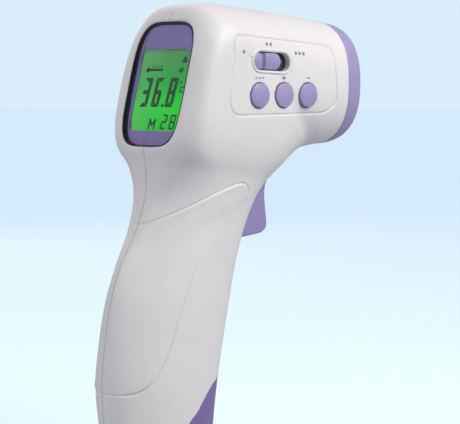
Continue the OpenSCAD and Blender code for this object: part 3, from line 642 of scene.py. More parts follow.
def barrel_outline(inset=0.0, sides=112):
    """The window's bulging outline, moved inwards by inset mm."""
    out = []
    for k in range(sides):
        c, t = cos(2 * pi * k / sides), sin(2 * pi * k / sides)
        r = (abs(c) ** WINDOW_POWER + abs(t) ** WINDOW_POWER) ** (-1 / WINDOW_POWER)
        out.append(((WINDOW_HALF[0] - inset) * c * r, (WINDOW_HALF[1] - inset) * t * r))
    return out


def window_point(y, z, depth):
    return WINDOW_C + W_IN * depth + W_UP * z + np.array([0, y, 0])


def window_block(name, outline, a, b):
    return block(name, [window_point(p[0], p[1], d) for d in (a, b) for p in outline])


def slot_outline(steps=18):
    flat = (SLOT_L - SLOT_H) / 2
    out = []
    for k in range(2 * steps + 2):
        t = -pi / 2 + pi * (k if k <= steps else k - 1) / steps
        a = (flat if k <= steps else -flat) + SLOT_H / 2 * cos(t)
        b = SLOT_H / 2 * sin(t)
        out.append((SLOT_C[0] + a * cos(SLOT_SLOPE) + b * sin(SLOT_SLOPE),
                    SLOT_C[1] - a * sin(SLOT_SLOPE) + b * cos(SLOT_SLOPE)))
    return out


def boolean(ob, cutter, operation="DIFFERENCE"):
    """Cut, join or intersect with a second mesh, which is then removed."""
    only(ob)
    mod = ob.modifiers.new("cut", "BOOLEAN")
    mod.operation, mod.solver, mod.object = operation, "MANIFOLD", cutter
    bpy.ops.object.modifier_apply(modifier=mod.name)
    bpy.data.objects.remove(cutter, do_unlink=True)


def join(obs):
    bpy.ops.object.select_all(action="DESELECT")
    for ob in obs:
        ob.select_set(True)
    bpy.context.view_layer.objects.active = obs[0]
    bpy.ops.object.join()
    return bpy.context.object


def mirrored(ob):
    """Reflect a mesh across the middle plane and keep its faces outwards."""
    for v in ob.data.vertices:
        v.co.y = -v.co.y
    ob.data.flip_normals()


SHELL_SCREWS = [(6.0, 70.5, 12.8), (-18.0, 30.0, 8.0), (57.5, 112.5, 16.6),
                (24.0, 140.6, 18.6), (57.0, 137.5, 16.8)]
PIVOT, PIN_BORE = (36.5, 98.2), 2.1


def loft(name, loops, capped=False):
    """Skin through loops of points in mm; an uncapped loft closes on its first loop."""
    n = len(loops[0])
    pts = np.vstack([np.array(loop, float) for loop in loops])
    faces = []
    last = len(loops) - 1 if capped else len(loops)
    for i in range(last):
        a, b = i * n, (i + 1) % len(loops) * n
        faces += [(a + j, a + (j + 1) % n, b + (j + 1) % n, b + j) for j in range(n)]
    if capped:
        faces += [tuple(range(n - 1, -1, -1)), tuple((len(loops) - 1) * n + j for j in range(n))]
    ob = new_piece(name, pts, faces)
    turn_outwards(ob)
    return ob


def half_body(name, us, ws, rise_of, near_of, gap, levels, fine, seam_open=False):
    """One side of the moulded wall: detailed outside, plain inside, closed at its rims."""
    uv, faces = refined_grid(us, ws, near_of, levels, fine)
    u, w = uv.T
    base = skin(u, w)
    outer = base + skin_normal(u, w) * rise_of(base)[:, None]
    u_in = u + 0.22 * (1 - u / LAST)
    inner = skin(u_in, w) - WALL * skin_normal(u_in, w)
    for side in (outer, inner):
        side[:, 1] = np.maximum(side[:, 1], 0) + gap
        side[(w == 0) | (w == 3), 1] = gap
    outer[:, 2] = np.maximum(outer[:, 2], 0)
    inner[:, 2] = np.where(u == 0, FLOOR_T, np.maximum(inner[:, 2], FLOOR_T))
    n = len(uv)
    on_seam = (w == 0) | (w == 3)
    rim = [(a, b) for a, b in boundary_edges(faces)
           if not (u[a] == 0 and u[b] == 0) and not (seam_open and on_seam[a] and on_seam[b])]
    every = list(faces) + [tuple(i + n for i in reversed(f)) for f in faces]
    every += [(b, a, a + n, b + n) for a, b in rim]
    if us[0] == 0:
        start = sorted([i for i in range(n) if u[i] == 0], key=lambda i: w[i])
        every += [tuple(start), tuple(i + n for i in reversed(start)),
                  (start[0], start[-1], start[-1] + n, start[0] + n)]
    ob = new_piece(name, np.vstack([outer, inner]), every)
    turn_outwards(ob)
    return ob


def shell_cutters(keys):
    cuts = [window_block("c1", barrel_outline(), -8, 3.0),
            window_block("c8", round_rect_outline(29.0, 41.0, 5.0), 2.9, 4.6),
            prism("c2", TRIGGER_SLOT, -2, TRIGGER_W / 2 + TRIGGER_GAP),
            prism("c4", [(SHELL_END, 80), (90, 80), (90, 170), (SHELL_END, 170)], -2, 40)]
    zone = cover_edge(CUT_GAP) + [(34.0, 35.3), (34.0, FLOOR_T)]
    cuts.append(prism("c3", [(x, max(z, FLOOR_T)) for x, z in zone], -2, 40))
    if keys:
        cuts.append(prism("c5", slot_outline(), 12, 40))
        cuts += [rod("c6", x, BUTTON_Z, BUTTON_D + 2 * BUTTON_GAP, 12, 40) for x in BUTTON_X]
    else:
        cuts += [rod("c7", x, z, 4.4, depth - 3.4, 40, 40) for x, z, depth in SHELL_SCREWS]
    return join(cuts)


shell_levels, shell_fine = ((3, 0.17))
for side, node in ((-1, "right_shell"), (1, "left_shell")):
    keyed = side < 0
    shell = half_body(node + "_skin", u_lines(0, LAST, 5), w_lines(),
                      lambda p: relief(p, keyed)[0], lambda p: relief(p, keyed)[1],
                      SEAM_GAP / 2, shell_levels, shell_fine)
    boss_d = 4.4 if keyed else 5.2
    bosses = join([rod("b", x, z, boss_d, SEAM_GAP / 2, depth - 0.8, 32)
                   for x, z, depth in SHELL_SCREWS])
    boolean(shell, bosses, "UNION")
    boolean(shell, shell_cutters(keyed))
    bores = join([rod("b", x, z, 1.9 if keyed else 2.4, -1, depth - (2.4 if keyed else 3.0), 32)
                  for x, z, depth in SHELL_SCREWS])
    boolean(shell, bores)
    ears = [rod("b", PIVOT[0], PIVOT[1], 5.0, TRIGGER_W / 2 + 0.5, 9.9, 40),
            rod("b", HINGE[0], HINGE[1], 3.6, 3.9, 5.4, 40)]
    ears.append(prism("b", [(HINGE[0] - 1.8, 1), (HINGE[0] + 1.8, 1),
                            (HINGE[0] + 1.8, HINGE[1]), (HINGE[0] - 1.8, HINGE[1])], 3.9, 5.4))
    for ear in ears:
        boolean(shell, ear, "UNION")
    pins = join([rod("b", PIVOT[0], PIVOT[1], 2.05, 0, 9.2, 32),
                 rod("b", HINGE[0], HINGE[1], 2.05, 0, 8, 32)])
    boolean(shell, pins)
    if keyed:
        mirrored(shell)
    smooth_by_angle(shell, 34)
    finished(shell, ivory_abs, "housing", node)
    print(node, len(shell.data.polygons), "faces")

# ---- Nose ring and sensor hood ---------------------------------------------------------------
# A lilac ABS ring is pushed over the front end of the shells. A black cone behind it
# leads the infrared sensor's view out; both are moulded and held by the shells.
lilac_abs = plastic("lilac_abs", (0.35, 0.30, 0.53), (0.315, 0.27, 0.50), 2400.0, 0.42, 0.3)
black_abs = plastic("black_abs", (0.018, 0.018, 0.024), (0.03, 0.03, 0.036), 2000.0, 0.55, 0.4)
NOSE_Z = 124.8
RING = [(66.1, 104.55, 145.15, 18.55), (66.25, 104.25, 145.4, 18.85), (67.4, 104.2, 145.3, 18.9),
        (69.2, 104.4, 145.1, 18.8),
        (71.0, 104.8, 144.7, 18.5), (72.2, 105.4, 144.1, 18.0), (72.9, 106.2, 143.3, 17.3),
        (73.0, 107.2, 142.3, 16.4), (72.6, 108.0, 141.5, 15.7), (71.8, 108.6, 140.9, 15.2),
        (70.0, 108.8, 140.7, 15.1)]


def nose_loop(x, low, high, half, n=128, power=2.4):
    """Round-cornered loop across the barrel, from height low to high."""
    out = []
    for k in range(n):
        c, t = cos(2 * pi * k / n), sin(2 * pi * k / n)
        r = (abs(c) ** power + abs(t) ** power) ** (-1 / power)
        out.append((x, half * c * r, (low + high) / 2 + (high - low) / 2 * t * r))
    return out


def axis_loop(x, r, n=128):
    return [(x, r * cos(2 * pi * k / n), NOSE_Z + r * sin(2 * pi * k / n)) for k in range(n)]


rows = [tuple(r) for r in smooth_path(RING, 4)]
rows += [(61.9, 108.8, 140.7, 15.1), (61.6, 108.6, 140.9, 15.3), (61.6, 107.2, 142.4, 16.2),
         (61.9, 106.9, 142.7, 16.5), (66.0, 106.7, 142.9, 16.6), (66.1, 106.6, 143.0, 16.7)]
ring = loft("nose_ring_moulding", [nose_loop(*r) for r in rows])
smooth_by_angle(ring, 40)
finished(ring, lilac_abs, "housing", "nose_ring")

hood = loft("sensor_hood_cone", [
    nose_loop(70.2, 109.0, 140.5, 14.9), nose_loop(71.2, 109.0, 140.5, 14.9),
    nose_loop(71.4, 109.2, 140.3, 14.7), axis_loop(71.4, 10.6), axis_loop(71.2, 10.15),
    axis_loop(70.6, 9.85), axis_loop(64.0, 6.8), axis_loop(58.2, 4.4), axis_loop(58.0, 4.5),
    axis_loop(58.0, 5.8), axis_loop(58.3, 6.2), axis_loop(70.0, 11.2), axis_loop(70.2, 11.4)])
smooth_by_angle(hood, 35)
finished(hood, black_abs, "housing", "sensor_hood")

# ---- Display --------------------------------------------------------------------------------
# A dark liner fills the window opening; its near-black colour is partly painted shade on the
# recess wall.
# In it a clear lens covers a violet printed mask, behind which a backlit green LCD shows
# seven-segment digits as dark bars.
# near-black navy: the liner's own colour, and partly painted shade for the inside wall of the
# window recess
navy_rubber_and_painted_shade = plastic("navy_rubber_and_painted_shade", (0.012, 0.010, 0.030), (0.02, 0.017, 0.042), 1800.0,
                      0.45, 0.3)
mask_print = plastic("mask_print", (0.29, 0.225, 0.55), (0.32, 0.245, 0.58), 3200.0, 0.32,
                     0.22, 0.04)
LENS_FACE = 1.3
LCD_W, LCD_H, LCD_LOW = 23.6, 26.5, -1.6


def nearby_mean(d2, values):
    """Mean of the six nearest values, weighted by closeness; d2 is squared distance."""
    near = np.argpartition(d2, 6)[:6]
    weight = 1 / (d2[near] + 1e-4)
    return (values[near] * weight).sum() / weight.sum()


def skin_depth(outline):
    """How deep the body's skin lies in the window's frame at each outline point."""
    uu, ww = np.meshgrid(np.linspace(8.5, 16.5, 260), np.linspace(1.6, 3, 200))
    p = skin(uu.ravel(), ww.ravel()) - WINDOW_C
    depth, up = p @ W_IN, p @ W_UP
    return np.array([nearby_mean((p[:, 1] - abs(y)) ** 2 + (up - z) ** 2, depth)
                     for y, z in outline])


def barrel_loop(inset, depth):
    """Window outline in space; depth is a number or one value per point."""
    outline = barrel_outline(inset)
    depth = np.broadcast_to(depth, (len(outline),))
    return [window_point(p[0], p[1], d) for p, d in zip(outline, depth)]


liner_top = skin_depth(barrel_outline()) + 0.45
ledge = np.maximum(liner_top + 0.15, LENS_FACE)
liner = loft("display_liner", [
    barrel_loop(0.1, 2.9), barrel_loop(0.1, liner_top), barrel_loop(0.16, liner_top - 0.05),
    barrel_loop(0.32, liner_top - 0.05), barrel_loop(0.38, liner_top + 0.02),
    barrel_loop(0.38, ledge), barrel_loop(0.7, ledge + 0.03), barrel_loop(0.72, ledge + 0.1),
    barrel_loop(0.72, 2.9)])
smooth_by_angle(liner, 35)
finished(liner, navy_rubber_and_painted_shade, "housing", "window_gasket")

clear_lens = plastic("clear_lens", (0.16, 0.17, 0.20), (0.20, 0.21, 0.24), 900.0, 0.09, 0.04,
                     0.02, Alpha=0.07, IOR=1.49)
lens_face = np.maximum(skin_depth(barrel_outline()) + 0.55, LENS_FACE)
lens = loft("display_window", [
    barrel_loop(1.1, np.minimum(lens_face, 1.9)),
    barrel_loop(0.9, np.minimum(lens_face + 0.06, 1.95)),
    barrel_loop(0.8, np.minimum(lens_face + 0.2, 2.0)), barrel_loop(0.8, 2.08)], capped=True)
smooth_by_angle(lens, 30)
finished(lens, clear_lens, "housing", "display_lens")


def opening_loop(grow, depth, n=112):
    """Rounded rectangle around the LCD with its points on the same rays as the outline."""
    a, b, p = LCD_W / 2 + grow, LCD_H / 2 + grow, 14.0
    out = []
    for k in range(n):
        c, t = cos(2 * pi * k / n), sin(2 * pi * k / n)
        c, t = c * LCD_W / WINDOW_HALF[0], t * LCD_H / WINDOW_HALF[1]
        r = ((abs(c) / a) ** p + (abs(t) / b) ** p) ** (-1 / p)
        out.append(window_point(c * r, t * r + LCD_LOW, depth))
    return out


mask = loft("display_mask_plate", [
    barrel_loop(0.8, 2.5), barrel_loop(0.8, 2.1), opening_loop(0.15, 2.1),
    opening_loop(0.0, 2.2), opening_loop(0.0, 2.5)])
smooth_by_angle(mask, 30)
finished(mask, mask_print, "housing", "display_mask")


def lit_glass():
    """Backlit LCD glass: pale at the upper left, deep green lower down, a little darker at the
    bottom, with a painted shadow of the mask's edge along the top.
    """
    mat = bpy.data.materials.new("lit_glass")
    mat.use_nodes = True
    tree = mat.node_tree
    shader = tree.nodes["Principled BSDF"]
    place = tree.nodes.new("ShaderNodeTexCoord")
    split = tree.nodes.new("ShaderNodeSeparateXYZ")
    tree.links.new(place.outputs["Object"], split.inputs[0])
    down = spread(tree, split.outputs["Z"], 0.136, 0.112, 0.0, 1.0)
    ramp_node = tree.nodes.new("ShaderNodeValToRGB")
    # the dark first stops at the top edge are a painted shadow cast by the mask's edge; the other
    # stops are the backlight's glow
    glow_and_painted_shadow_stops = [(0.0, (0.03, 0.13, 0.04)), (0.08, (0.05, 0.25, 0.07)), (0.45, (0.0, 0.34, 0.03)),
             (0.78, (0.0, 0.56, 0.02)), (1.0, (0.0, 0.48, 0.02))]
    ramp_node.color_ramp.elements[0].color = (*glow_and_painted_shadow_stops[0][1], 1)
    ramp_node.color_ramp.elements[1].color = (*glow_and_painted_shadow_stops[-1][1], 1)
    for at, colour in glow_and_painted_shadow_stops[1:-1]:
        ramp_node.color_ramp.elements.new(at).color = (*colour, 1)
    tree.links.new(down, ramp_node.inputs[0])
    pale = spread(tree, split.outputs["Y"], -0.002, 0.012, 0.0, 0.34)
    soft = mix_colour(tree, pale, ramp_node.outputs[0], (0.18, 0.42, 0.19, 1))
    shade = spread(tree, noise(tree, place.outputs["Object"], 160.0, 3.0), 0.3, 0.7, 0.93, 1.05)
    glow = mix_colour(tree, 1.0, soft, shade, "MULTIPLY")
    tree.links.new(glow, shader.inputs["Emission Color"])
    shader.inputs["Emission Strength"].default_value = 0.9
    tree.links.new(mix_colour(tree, 1.0, glow, (0.35, 0.35, 0.35, 1), "MULTIPLY"),
                   shader.inputs["Base Color"])
    tree.links.new(spread(tree, shade, 0.93, 1.05, 0.10, 0.16), shader.inputs["Roughness"])
    return mat


glass = loft("lcd_glass_panel", [
    [window_point(y, z + LCD_LOW, depth) for y, z in round_rect_outline(w, h, 0.4, 3)]
    for w, h, depth in ((24.2, 30.9, 2.7), (24.4, 31.1, 2.8), (24.4, 31.1, 4.5))], capped=True)
finished(glass, lit_glass(), "housing", "lcd_panel")

# segments are thin bars just above the glass; s runs left to right and t down, 0..1
SEGMENT_DEPTH = (2.62, 2.72)
SLANT = 0.10


def screen_point(s, t):
    return (0.5 - s) * LCD_W, LCD_LOW + (0.5 - t) * LCD_H


def screen_bar(points):
    """Flat bar on the screen from outline points in mm across and up."""
    return window_block("bar", points, *SEGMENT_DEPTH)


def slanted(cx, cy, a, b):
    y, z = screen_point(cx, cy)
    return y - a - SLANT * b, z + b


def digit(value, cx, cy, w, h, bold):
    """Seven-segment digit of size w x h mm centred at (cx, cy); bars have mitred ends."""
    lit = {"2": "abged", "3": "abgcd", "6": "afgedc", "8": "abcdefg"}[value]
    half_w, half_h, b, gap = w / 2, h / 2, bold, 0.12

    def across(level):
        x0, x1 = -half_w + gap, half_w - gap
        if level > 0:
            return [(x0, level), (x1, level), (x1 - b, level - b), (x0 + b, level - b)]
        if level < 0:
            return [(x0, level), (x0 + b, level + b), (x1 - b, level + b), (x1, level)]
        return [(x0, 0), (x0 + b / 2, b / 2), (x1 - b / 2, b / 2), (x1, 0),
                (x1 - b / 2, -b / 2), (x0 + b / 2, -b / 2)]

    def upright(x, z0, z1):
        inner = x - b if x > 0 else x + b
        top = z1 - gap if z1 > 0.01 else -gap
        low = z0 + gap if z0 < -0.01 else gap
        top_in = top - (b if z1 > 0.01 else b / 2)
        low_in = low + (b if z0 < -0.01 else b / 2)
        return [(x, low), (x, top), (inner, top_in), (inner, low_in)]

    shapes = {"a": across(half_h), "d": across(-half_h), "g": across(0),
              "b": upright(half_w, 0, half_h), "c": upright(half_w, -half_h, 0),
              "f": upright(-half_w, 0, half_h), "e": upright(-half_w, -half_h, 0)}
    return [screen_bar([slanted(cx, cy, p, q) for p, q in shapes[key]]) for key in lit]


def disc_points(cx, cy, r, n=20):
    return [slanted(cx, cy, r * cos(2 * pi * k / n), r * sin(2 * pi * k / n)) for k in range(n)]


def strip(cx, cy, path, bold):
    """Line of constant width through points in mm about (cx, cy)."""
    bars = []
    for (ax, ay), (bx, by) in zip(path[:-1], path[1:]):
        length = hypot(bx - ax, by - ay)
        ux, uy = (bx - ax) / length * bold / 2, (by - ay) / length * bold / 2
        corners = [(ax - ux - uy, ay - uy + ux), (bx + ux - uy, by + uy + ux),
                   (bx + ux + uy, by + uy - ux), (ax - ux + uy, ay - uy - ux)]
        bars.append(screen_bar([slanted(cx, cy, p, q) for p, q in corners]))
    return bars


bars = digit("3", 0.20, 0.525, 3.8, 9.5, 1.35) + digit("6", 0.445, 0.525, 3.8, 9.5, 1.35)
bars += digit("8", 0.735, 0.525, 3.8, 9.5, 1.35)
bars.append(screen_bar(disc_points(0.59, 0.685, 0.62)))
bars += digit("2", 0.69, 0.885, 2.6, 4.8, 0.62) + digit("8", 0.865, 0.885, 2.6, 4.8, 0.62)
bars += strip(0.445, 0.915, [(-1.3, -1.4), (-1.3, 1.4), (0, -0.3), (1.3, 1.4), (1.3, -1.4)], 0.62)
bars += strip(0.93, 0.49, [(0.7, 0.75), (-0.6, 0.75), (-0.6, -0.75), (0.7, -0.75)], 0.38)
bars += strip(0.895, 0.40, [(-0.3, -0.3), (0.3, -0.3), (0.3, 0.3), (-0.3, 0.3), (-0.3, -0.3)],
              0.22)
# small thermometer mark, a bell and a loudspeaker in place of words and icons
bars.append(screen_bar(disc_points(0.15, 0.25, 0.85)))
bars += strip(0.15, 0.25, [(0.5, 0), (7.0, 0)], 0.75)
bars += [bar for k in range(4) for bar in strip(0.15, 0.25, [(2.2 + 1.4 * k, 0.7),
                                                          (2.2 + 1.4 * k, 1.4)], 0.3)]
bars.append(screen_bar([slanted(0.89, 0.13, p, q) for p, q in
                        [(-1.2, -0.9), (-0.8, 0.5), (-0.3, 1.1), (0.3, 1.1), (0.8, 0.5),
                         (1.2, -0.9)]]))
bars.append(screen_bar([slanted(0.85, 0.255, p, q) for p, q in
                        [(-1.0, -0.45), (-1.0, 0.45), (-0.4, 0.45), (0.4, 1.2), (0.4, -1.2),
                         (-0.4, -0.45)]]))
bars += strip(0.85, 0.255, [(0.95, -0.6), (1.15, 0), (0.95, 0.6)], 0.25)
segments = join(bars)
segments.name = "lcd_segments"
segment_dye = plastic("segment_dye", (0.003, 0.060, 0.012), (0.006, 0.085, 0.018), 3000.0,
                      0.4, 0.3, 0.02)
finished(segments, segment_dye, "housing")

# ---- Keys -----------------------------------------------------------------------------------
# Three domed lilac buttons drop through round holes and rest on key switches; a ribbed
# lilac knob slides in the raised slot above them. All are moulded in satin ABS.
key_abs = plastic("key_abs", (0.35, 0.305, 0.53), (0.31, 0.27, 0.49), 2600.0, 0.4, 0.28)


def turned(name, profile, centre, axis, sides=72):
    """Round piece spun from (distance along the axis, radius) rows in mm."""
    axis = Vector(axis).normalized()
    across = axis.orthogonal().normalized()
    points = [(Vector(centre) + axis * d + across * r) * MM for d, r in profile]
    mesh = bpy.data.meshes.new(name)
    mesh.from_pydata([tuple(p) for p in points], [(i, i + 1) for i in range(len(points) - 1)], [])
    ob = bpy.data.objects.new(name, mesh)
    bpy.context.scene.collection.objects.link(ob)
    only(ob)
    bpy.ops.object.mode_set(mode="EDIT")
    bpy.ops.mesh.select_all(action="SELECT")
    bpy.ops.mesh.spin(steps=sides, angle=2 * pi, center=Vector(centre) * MM, axis=axis)
    bpy.ops.mesh.select_all(action="SELECT")
    bpy.ops.mesh.remove_doubles(threshold=1e-6)
    bpy.ops.mesh.normals_make_consistent(inside=False)
    bpy.ops.object.mode_set(mode="OBJECT")
    return ob


DOME_R, FLANGE_OUT, STEM_END = 13.0, 18.1, 16.2
DOME_TOPS = (22.1, 21.6, 21.1)
cap_r = BUTTON_D / 2


def dome_rows(top):
    """Crowned top with a rounded edge, from its middle outwards."""
    out = []
    for k in range(15):
        r = (cap_r - 0.3) * k / 14
        out.append((top - DOME_R + (DOME_R ** 2 - r ** 2) ** 0.5, r))
    edge_d, edge_r = out[-1]
    for k in range(1, 6):
        a = pi / 2 * k / 5
        out.append((edge_d - 0.35 * (1 - cos(a)), edge_r + 0.3 * sin(a)))
    return out


body_rows = [(18.2, cap_r), (FLANGE_OUT, cap_r + 0.1), (FLANGE_OUT, 4.9),
             (FLANGE_OUT - 0.1, 5.0), (17.6, 5.0), (17.5, 4.9), (17.5, 1.8), (17.4, 1.7),
             (STEM_END + 0.1, 1.7), (STEM_END, 1.6), (STEM_END, 0.0)]
for x, top, body in zip(BUTTON_X, DOME_TOPS, ("mode", "plus", "minus")):
    key = turned(body + "_key", dome_rows(top) + body_rows, (x, 0, BUTTON_Z), (0, -1, 0))
    smooth_by_angle(key, 35)
    finished(key, key_abs, body, body + "_button")

KNOB_C, KNOB_L, KNOB_H = (27.5, 131.6), 11.8, 5.3
KNOB_FACE, KNOB_BACK = 21.3, 18.4


def knob_face(a):
    """Outer face along the knob: a wide valley towards its rear, then fine ribs."""
    valley = 1.0 * ramp(1.25 - abs(a + 2.1) / 0.95)
    ribs = 0.16 * (0.5 + 0.5 * cos(2 * pi * (a - 0.2) / 0.9)) if a > -0.6 and a < 4.4 else 0.0
    return KNOB_FACE - valley - ribs - 0.012 * a * a


knob_loops = []
KNOB_CROWN = 0.30
flat = (KNOB_L - KNOB_H) / 2
for a in np.concatenate([-KNOB_L / 2 + 0.9 * (1 - np.cos(np.linspace(0.12, pi / 2, 10))),
                         np.linspace(-KNOB_L / 2 + 1.0, KNOB_L / 2 - 1.0, 90),
                         KNOB_L / 2 - 0.9 * (1 - np.cos(np.linspace(pi / 2, 0.12, 10)))]):
    half = (max((KNOB_H / 2) ** 2 - max(abs(a) - flat, 0) ** 2, 0.0004)) ** 0.5
    face = knob_face(a)
    soft_r = min(0.45, half * 0.6)
    shoulder = face - KNOB_CROWN - soft_r
    section = [(-half, KNOB_BACK), (-half, shoulder)]
    section += [(-half + soft_r * (1 - cos(t)), shoulder + soft_r * sin(t))
                for t in np.linspace(0.3, pi / 2, 5)]
    section += [(b, face - KNOB_CROWN * (b / max(half - soft_r, .01)) ** 2)
                for b in np.linspace(-half + soft_r, half - soft_r, 13)[1:-1]]
    section += [(half - soft_r * (1 - cos(t)), shoulder + soft_r * sin(t))
                for t in np.linspace(pi / 2, 0.3, 5)]
    section += [(half, shoulder), (half, KNOB_BACK)]
    knob_loops.append([(KNOB_C[0] + a * cos(SLOT_SLOPE) + b * sin(SLOT_SLOPE), -y,
                        KNOB_C[1] - a * sin(SLOT_SLOPE) + b * cos(SLOT_SLOPE))
                       for b, y in section])
knob = loft("slide_knob", knob_loops, capped=True)
smooth_by_angle(knob, 40)
finished(knob, key_abs, "selector", "selector_knob")

# pad-printed marks in grey ink: plus and minus over their keys, and plain dots for modes
side_u, side_w = np.meshgrid(np.linspace(8, LAST, 300), np.linspace(0.5, 2.5, 160))
side_points = skin(side_u.ravel(), side_w.ravel())


def side_y(x, z):
    d2 = (side_points[:, 0] - x) ** 2 + (side_points[:, 2] - z) ** 2
    return nearby_mean(d2, side_points[:, 1])


def ink(outline):
    """Thin printed patch on the right side of the head."""
    lift = SEAM_GAP / 2
    low = [(x, -(side_y(x, z) + lift - 0.05), z) for x, z in outline]
    top = [(x, -(side_y(x, z) + lift + 0.03), z) for x, z in outline]
    return loft("ink", [low, top], capped=True)


def ink_bar(x, z, w, h):
    return ink([(x - w / 2, z - h / 2), (x + w / 2, z - h / 2), (x + w / 2, z + h / 2),
                (x - w / 2, z + h / 2)])


def ink_dot(x, z, r):
    return ink([(x + r * cos(2 * pi * k / 18), z + r * sin(2 * pi * k / 18)) for k in range(18)])


marks = [ink_bar(BUTTON_X[1], 126.3, 1.6, 0.45), ink_bar(BUTTON_X[1], 126.75, 0.45, 0.45),
         ink_bar(BUTTON_X[1], 125.85, 0.45, 0.45), ink_bar(BUTTON_X[2], 126.3, 1.6, 0.45)]
marks += [ink_dot(x, z, 0.6) for x, z in
          [(16.8, 134.4), (27.6, 137.0), (29.4, 136.95), (40.6, 134.3), (42.4, 134.2),
           (44.2, 134.1)]]
marks += [ink_bar(24.0 + dx, 126.3, 0.9, 0.45) for dx in (-1.5, 0, 1.5)]
print_marks = join(marks)
print_marks.name = "key_marks"
grey_ink = plastic("grey_ink", (0.23, 0.22, 0.23), (0.27, 0.26, 0.27), 3000.0, 0.6, 0.5)
finished(print_marks, grey_ink,
         "housing")

# ---- Trigger --------------------------------------------------------------------------------
# A lilac ABS trigger hangs on a steel pin under the barrel and presses a switch in the
# grip. Its front is slightly hollow for the finger and its long edges are rounded.
trigger_abs = plastic("trigger_abs", (0.30, 0.26, 0.50), (0.27, 0.23, 0.46), 2400.0, 0.42, 0.3)
TRIGGER = [(42.3, 94.1), (40.9, 92.4), (40.2, 90.4), (40.1, 87.5), (40.5, 83.5), (41.0, 80.0),
           (41.1, 78.3), (40.7, 77.0), (39.5, 76.0), (37.7, 75.4), (30.6, 74.6), (27.0, 74.5),
           (28.9, 80.0), (31.6, 88.0), (33.0, 94.0), (32.8, 99.0), (34.6, 101.4),
           (38.4, 101.4), (40.4, 99.2), (40.9, 96.2)]
lever = prism("trigger_lever", corner_path(TRIGGER, 1.6, 4), -TRIGGER_W / 2, TRIGGER_W / 2)
only(lever)
edge_round = lever.modifiers.new("round", "BEVEL")
edge_round.width, edge_round.segments, edge_round.limit_method = 0.7 * MM, 4, "ANGLE"
edge_round.angle_limit = radians(60)
bpy.ops.object.modifier_apply(modifier=edge_round.name)
boolean(lever, rod("b", PIVOT[0], PIVOT[1], PIN_BORE, -20, 20, 40))
pocket = turned("b", [(0, 0), (0, 3.3), (5.4, 3.3), (5.4, 0)], (29, 0, 88), (1, 0, 0), 40)
boolean(lever, pocket)
smooth_by_angle(lever, 32)
finished(lever, trigger_abs, "trigger_lever", "trigger")

# ---- Battery cover --------------------------------------------------------------------------
# The violet ABS toe of the grip is a hinged cover over two AA cells. It has the body's own
# curve and wall, a rounded rim and a knuckle that turns on a steel pin.
violet_abs = plastic("violet_abs", (0.20, 0.15, 0.37), (0.175, 0.13, 0.335), 2400.0, 0.42, 0.3)


def cover_rise(p):
    edge, _ = path_distance(p[:, 0], p[:, 2], cover_edge(0))
    return np.where(inside(p[:, 0], p[:, 2], cover_edge(0) + COVER_TAIL), rounded(edge, 0.4), 0)


def cover_near(p):
    edge, _ = path_distance(p[:, 0], p[:, 2], cover_edge(0))
    return np.maximum(edge - 0.5, 0)


cover = half_body("battery_door", u_lines(0.2, 3.8, 5), w_lines(False), cover_rise, cover_near,
                  0.0, shell_levels, shell_fine, seam_open=True)
only(cover)
fold = cover.modifiers.new("mirror", "MIRROR")
fold.use_axis = (False, True, False)
fold.use_mirror_merge, fold.merge_threshold = True, 2e-5
bpy.ops.object.modifier_apply(modifier=fold.name)
turn_outwards(cover)
toe = [p for p in cover_edge(0) if p[1] > 2.2]
toe = [(toe[0][0] - 0.05, 2.2)] + toe + [(34.0, 35.0), (34.0, HINGE[1])]
toe += [(HINGE[0] + NOSE_R * cos(radians(a)), HINGE[1] + NOSE_R * sin(radians(a)))
        for a in range(0, -91, -6)]
boolean(cover, prism("zone", toe, -30, 30), "INTERSECT")
boolean(cover, rod("b", HINGE[0], HINGE[1], 4.4, -3.5, 3.5, 48), "UNION")
web = prism("b", [(HINGE[0], HINGE[1] - 0.2), (HINGE[0] + 4.4, HINGE[1] - 0.2),
                  (HINGE[0] + 4.4, HINGE[1] + 2.2), (HINGE[0], HINGE[1] + 2.2)], -3.5, 3.5)
boolean(cover, web, "UNION")
boolean(cover, rod("b", HINGE[0], HINGE[1], PIN_BORE, -6, 6, 40))
ear_slot = [(HINGE[0] - 2.3, 0), (HINGE[0] + 7.7, 0), (HINGE[0] + 7.7, HINGE[1] + 2.9),
            (HINGE[0] - 2.3, HINGE[1] + 2.9)]
for middle in (-4.65, 4.65):
    boolean(cover, prism("b", ear_slot, middle - 1.05, middle + 1.05))
smooth_by_angle(cover, 34)
finished(cover, violet_abs, "cover", "battery_cover")
print("cover", len(cover.data.polygons), "faces")

# ---- Screws ---------------------------------------------------------------------------------
# Five self-tapping steel screws join the halves from the left side. Each has a domed head
# with a cross recess and sits at the bottom of a counterbore.
screw_steel = metal("screw_steel", (0.58, 0.58, 0.60), (0.30, 0.29, 0.28), 0.22)
screws = []
for x, z, depth in SHELL_SCREWS:
    head = turned("screw", [(-1.55, 0), (-1.62, 0.9), (-1.8, 1.5), (-2.15, 1.9), (-2.5, 2.0),
                            (-3.2, 2.0), (-3.3, 1.9), (-3.3, 0.92), (3.6 - 2 * depth, 0.92),
                            (3.0 - 2 * depth, 0.3), (3.0 - 2 * depth, 0)],
                  (x, depth, z), (0, 1, 0), 40)
    for half_x, half_z in ((1.2, 0.25), (0.25, 1.2)):
        recess = prism("b", [(x - half_x, z - half_z), (x + half_x, z - half_z),
                             (x + half_x, z + half_z), (x - half_x, z + half_z)],
                       depth - 2.5, depth - 1)
        boolean(head, recess)
    screws.append(head)
screws = join(screws)
screws.name = "joining_screws"
smooth_by_angle(screws, 35)
finished(screws, screw_steel, "housing", "shell_screws")

# ---- Inner parts ------------------------------------------------------------------------------
# Boards, display stack, sensor, switches, pins, springs, tray, cells and leads keep their
# CAD shape; each gets the finish of its own material.


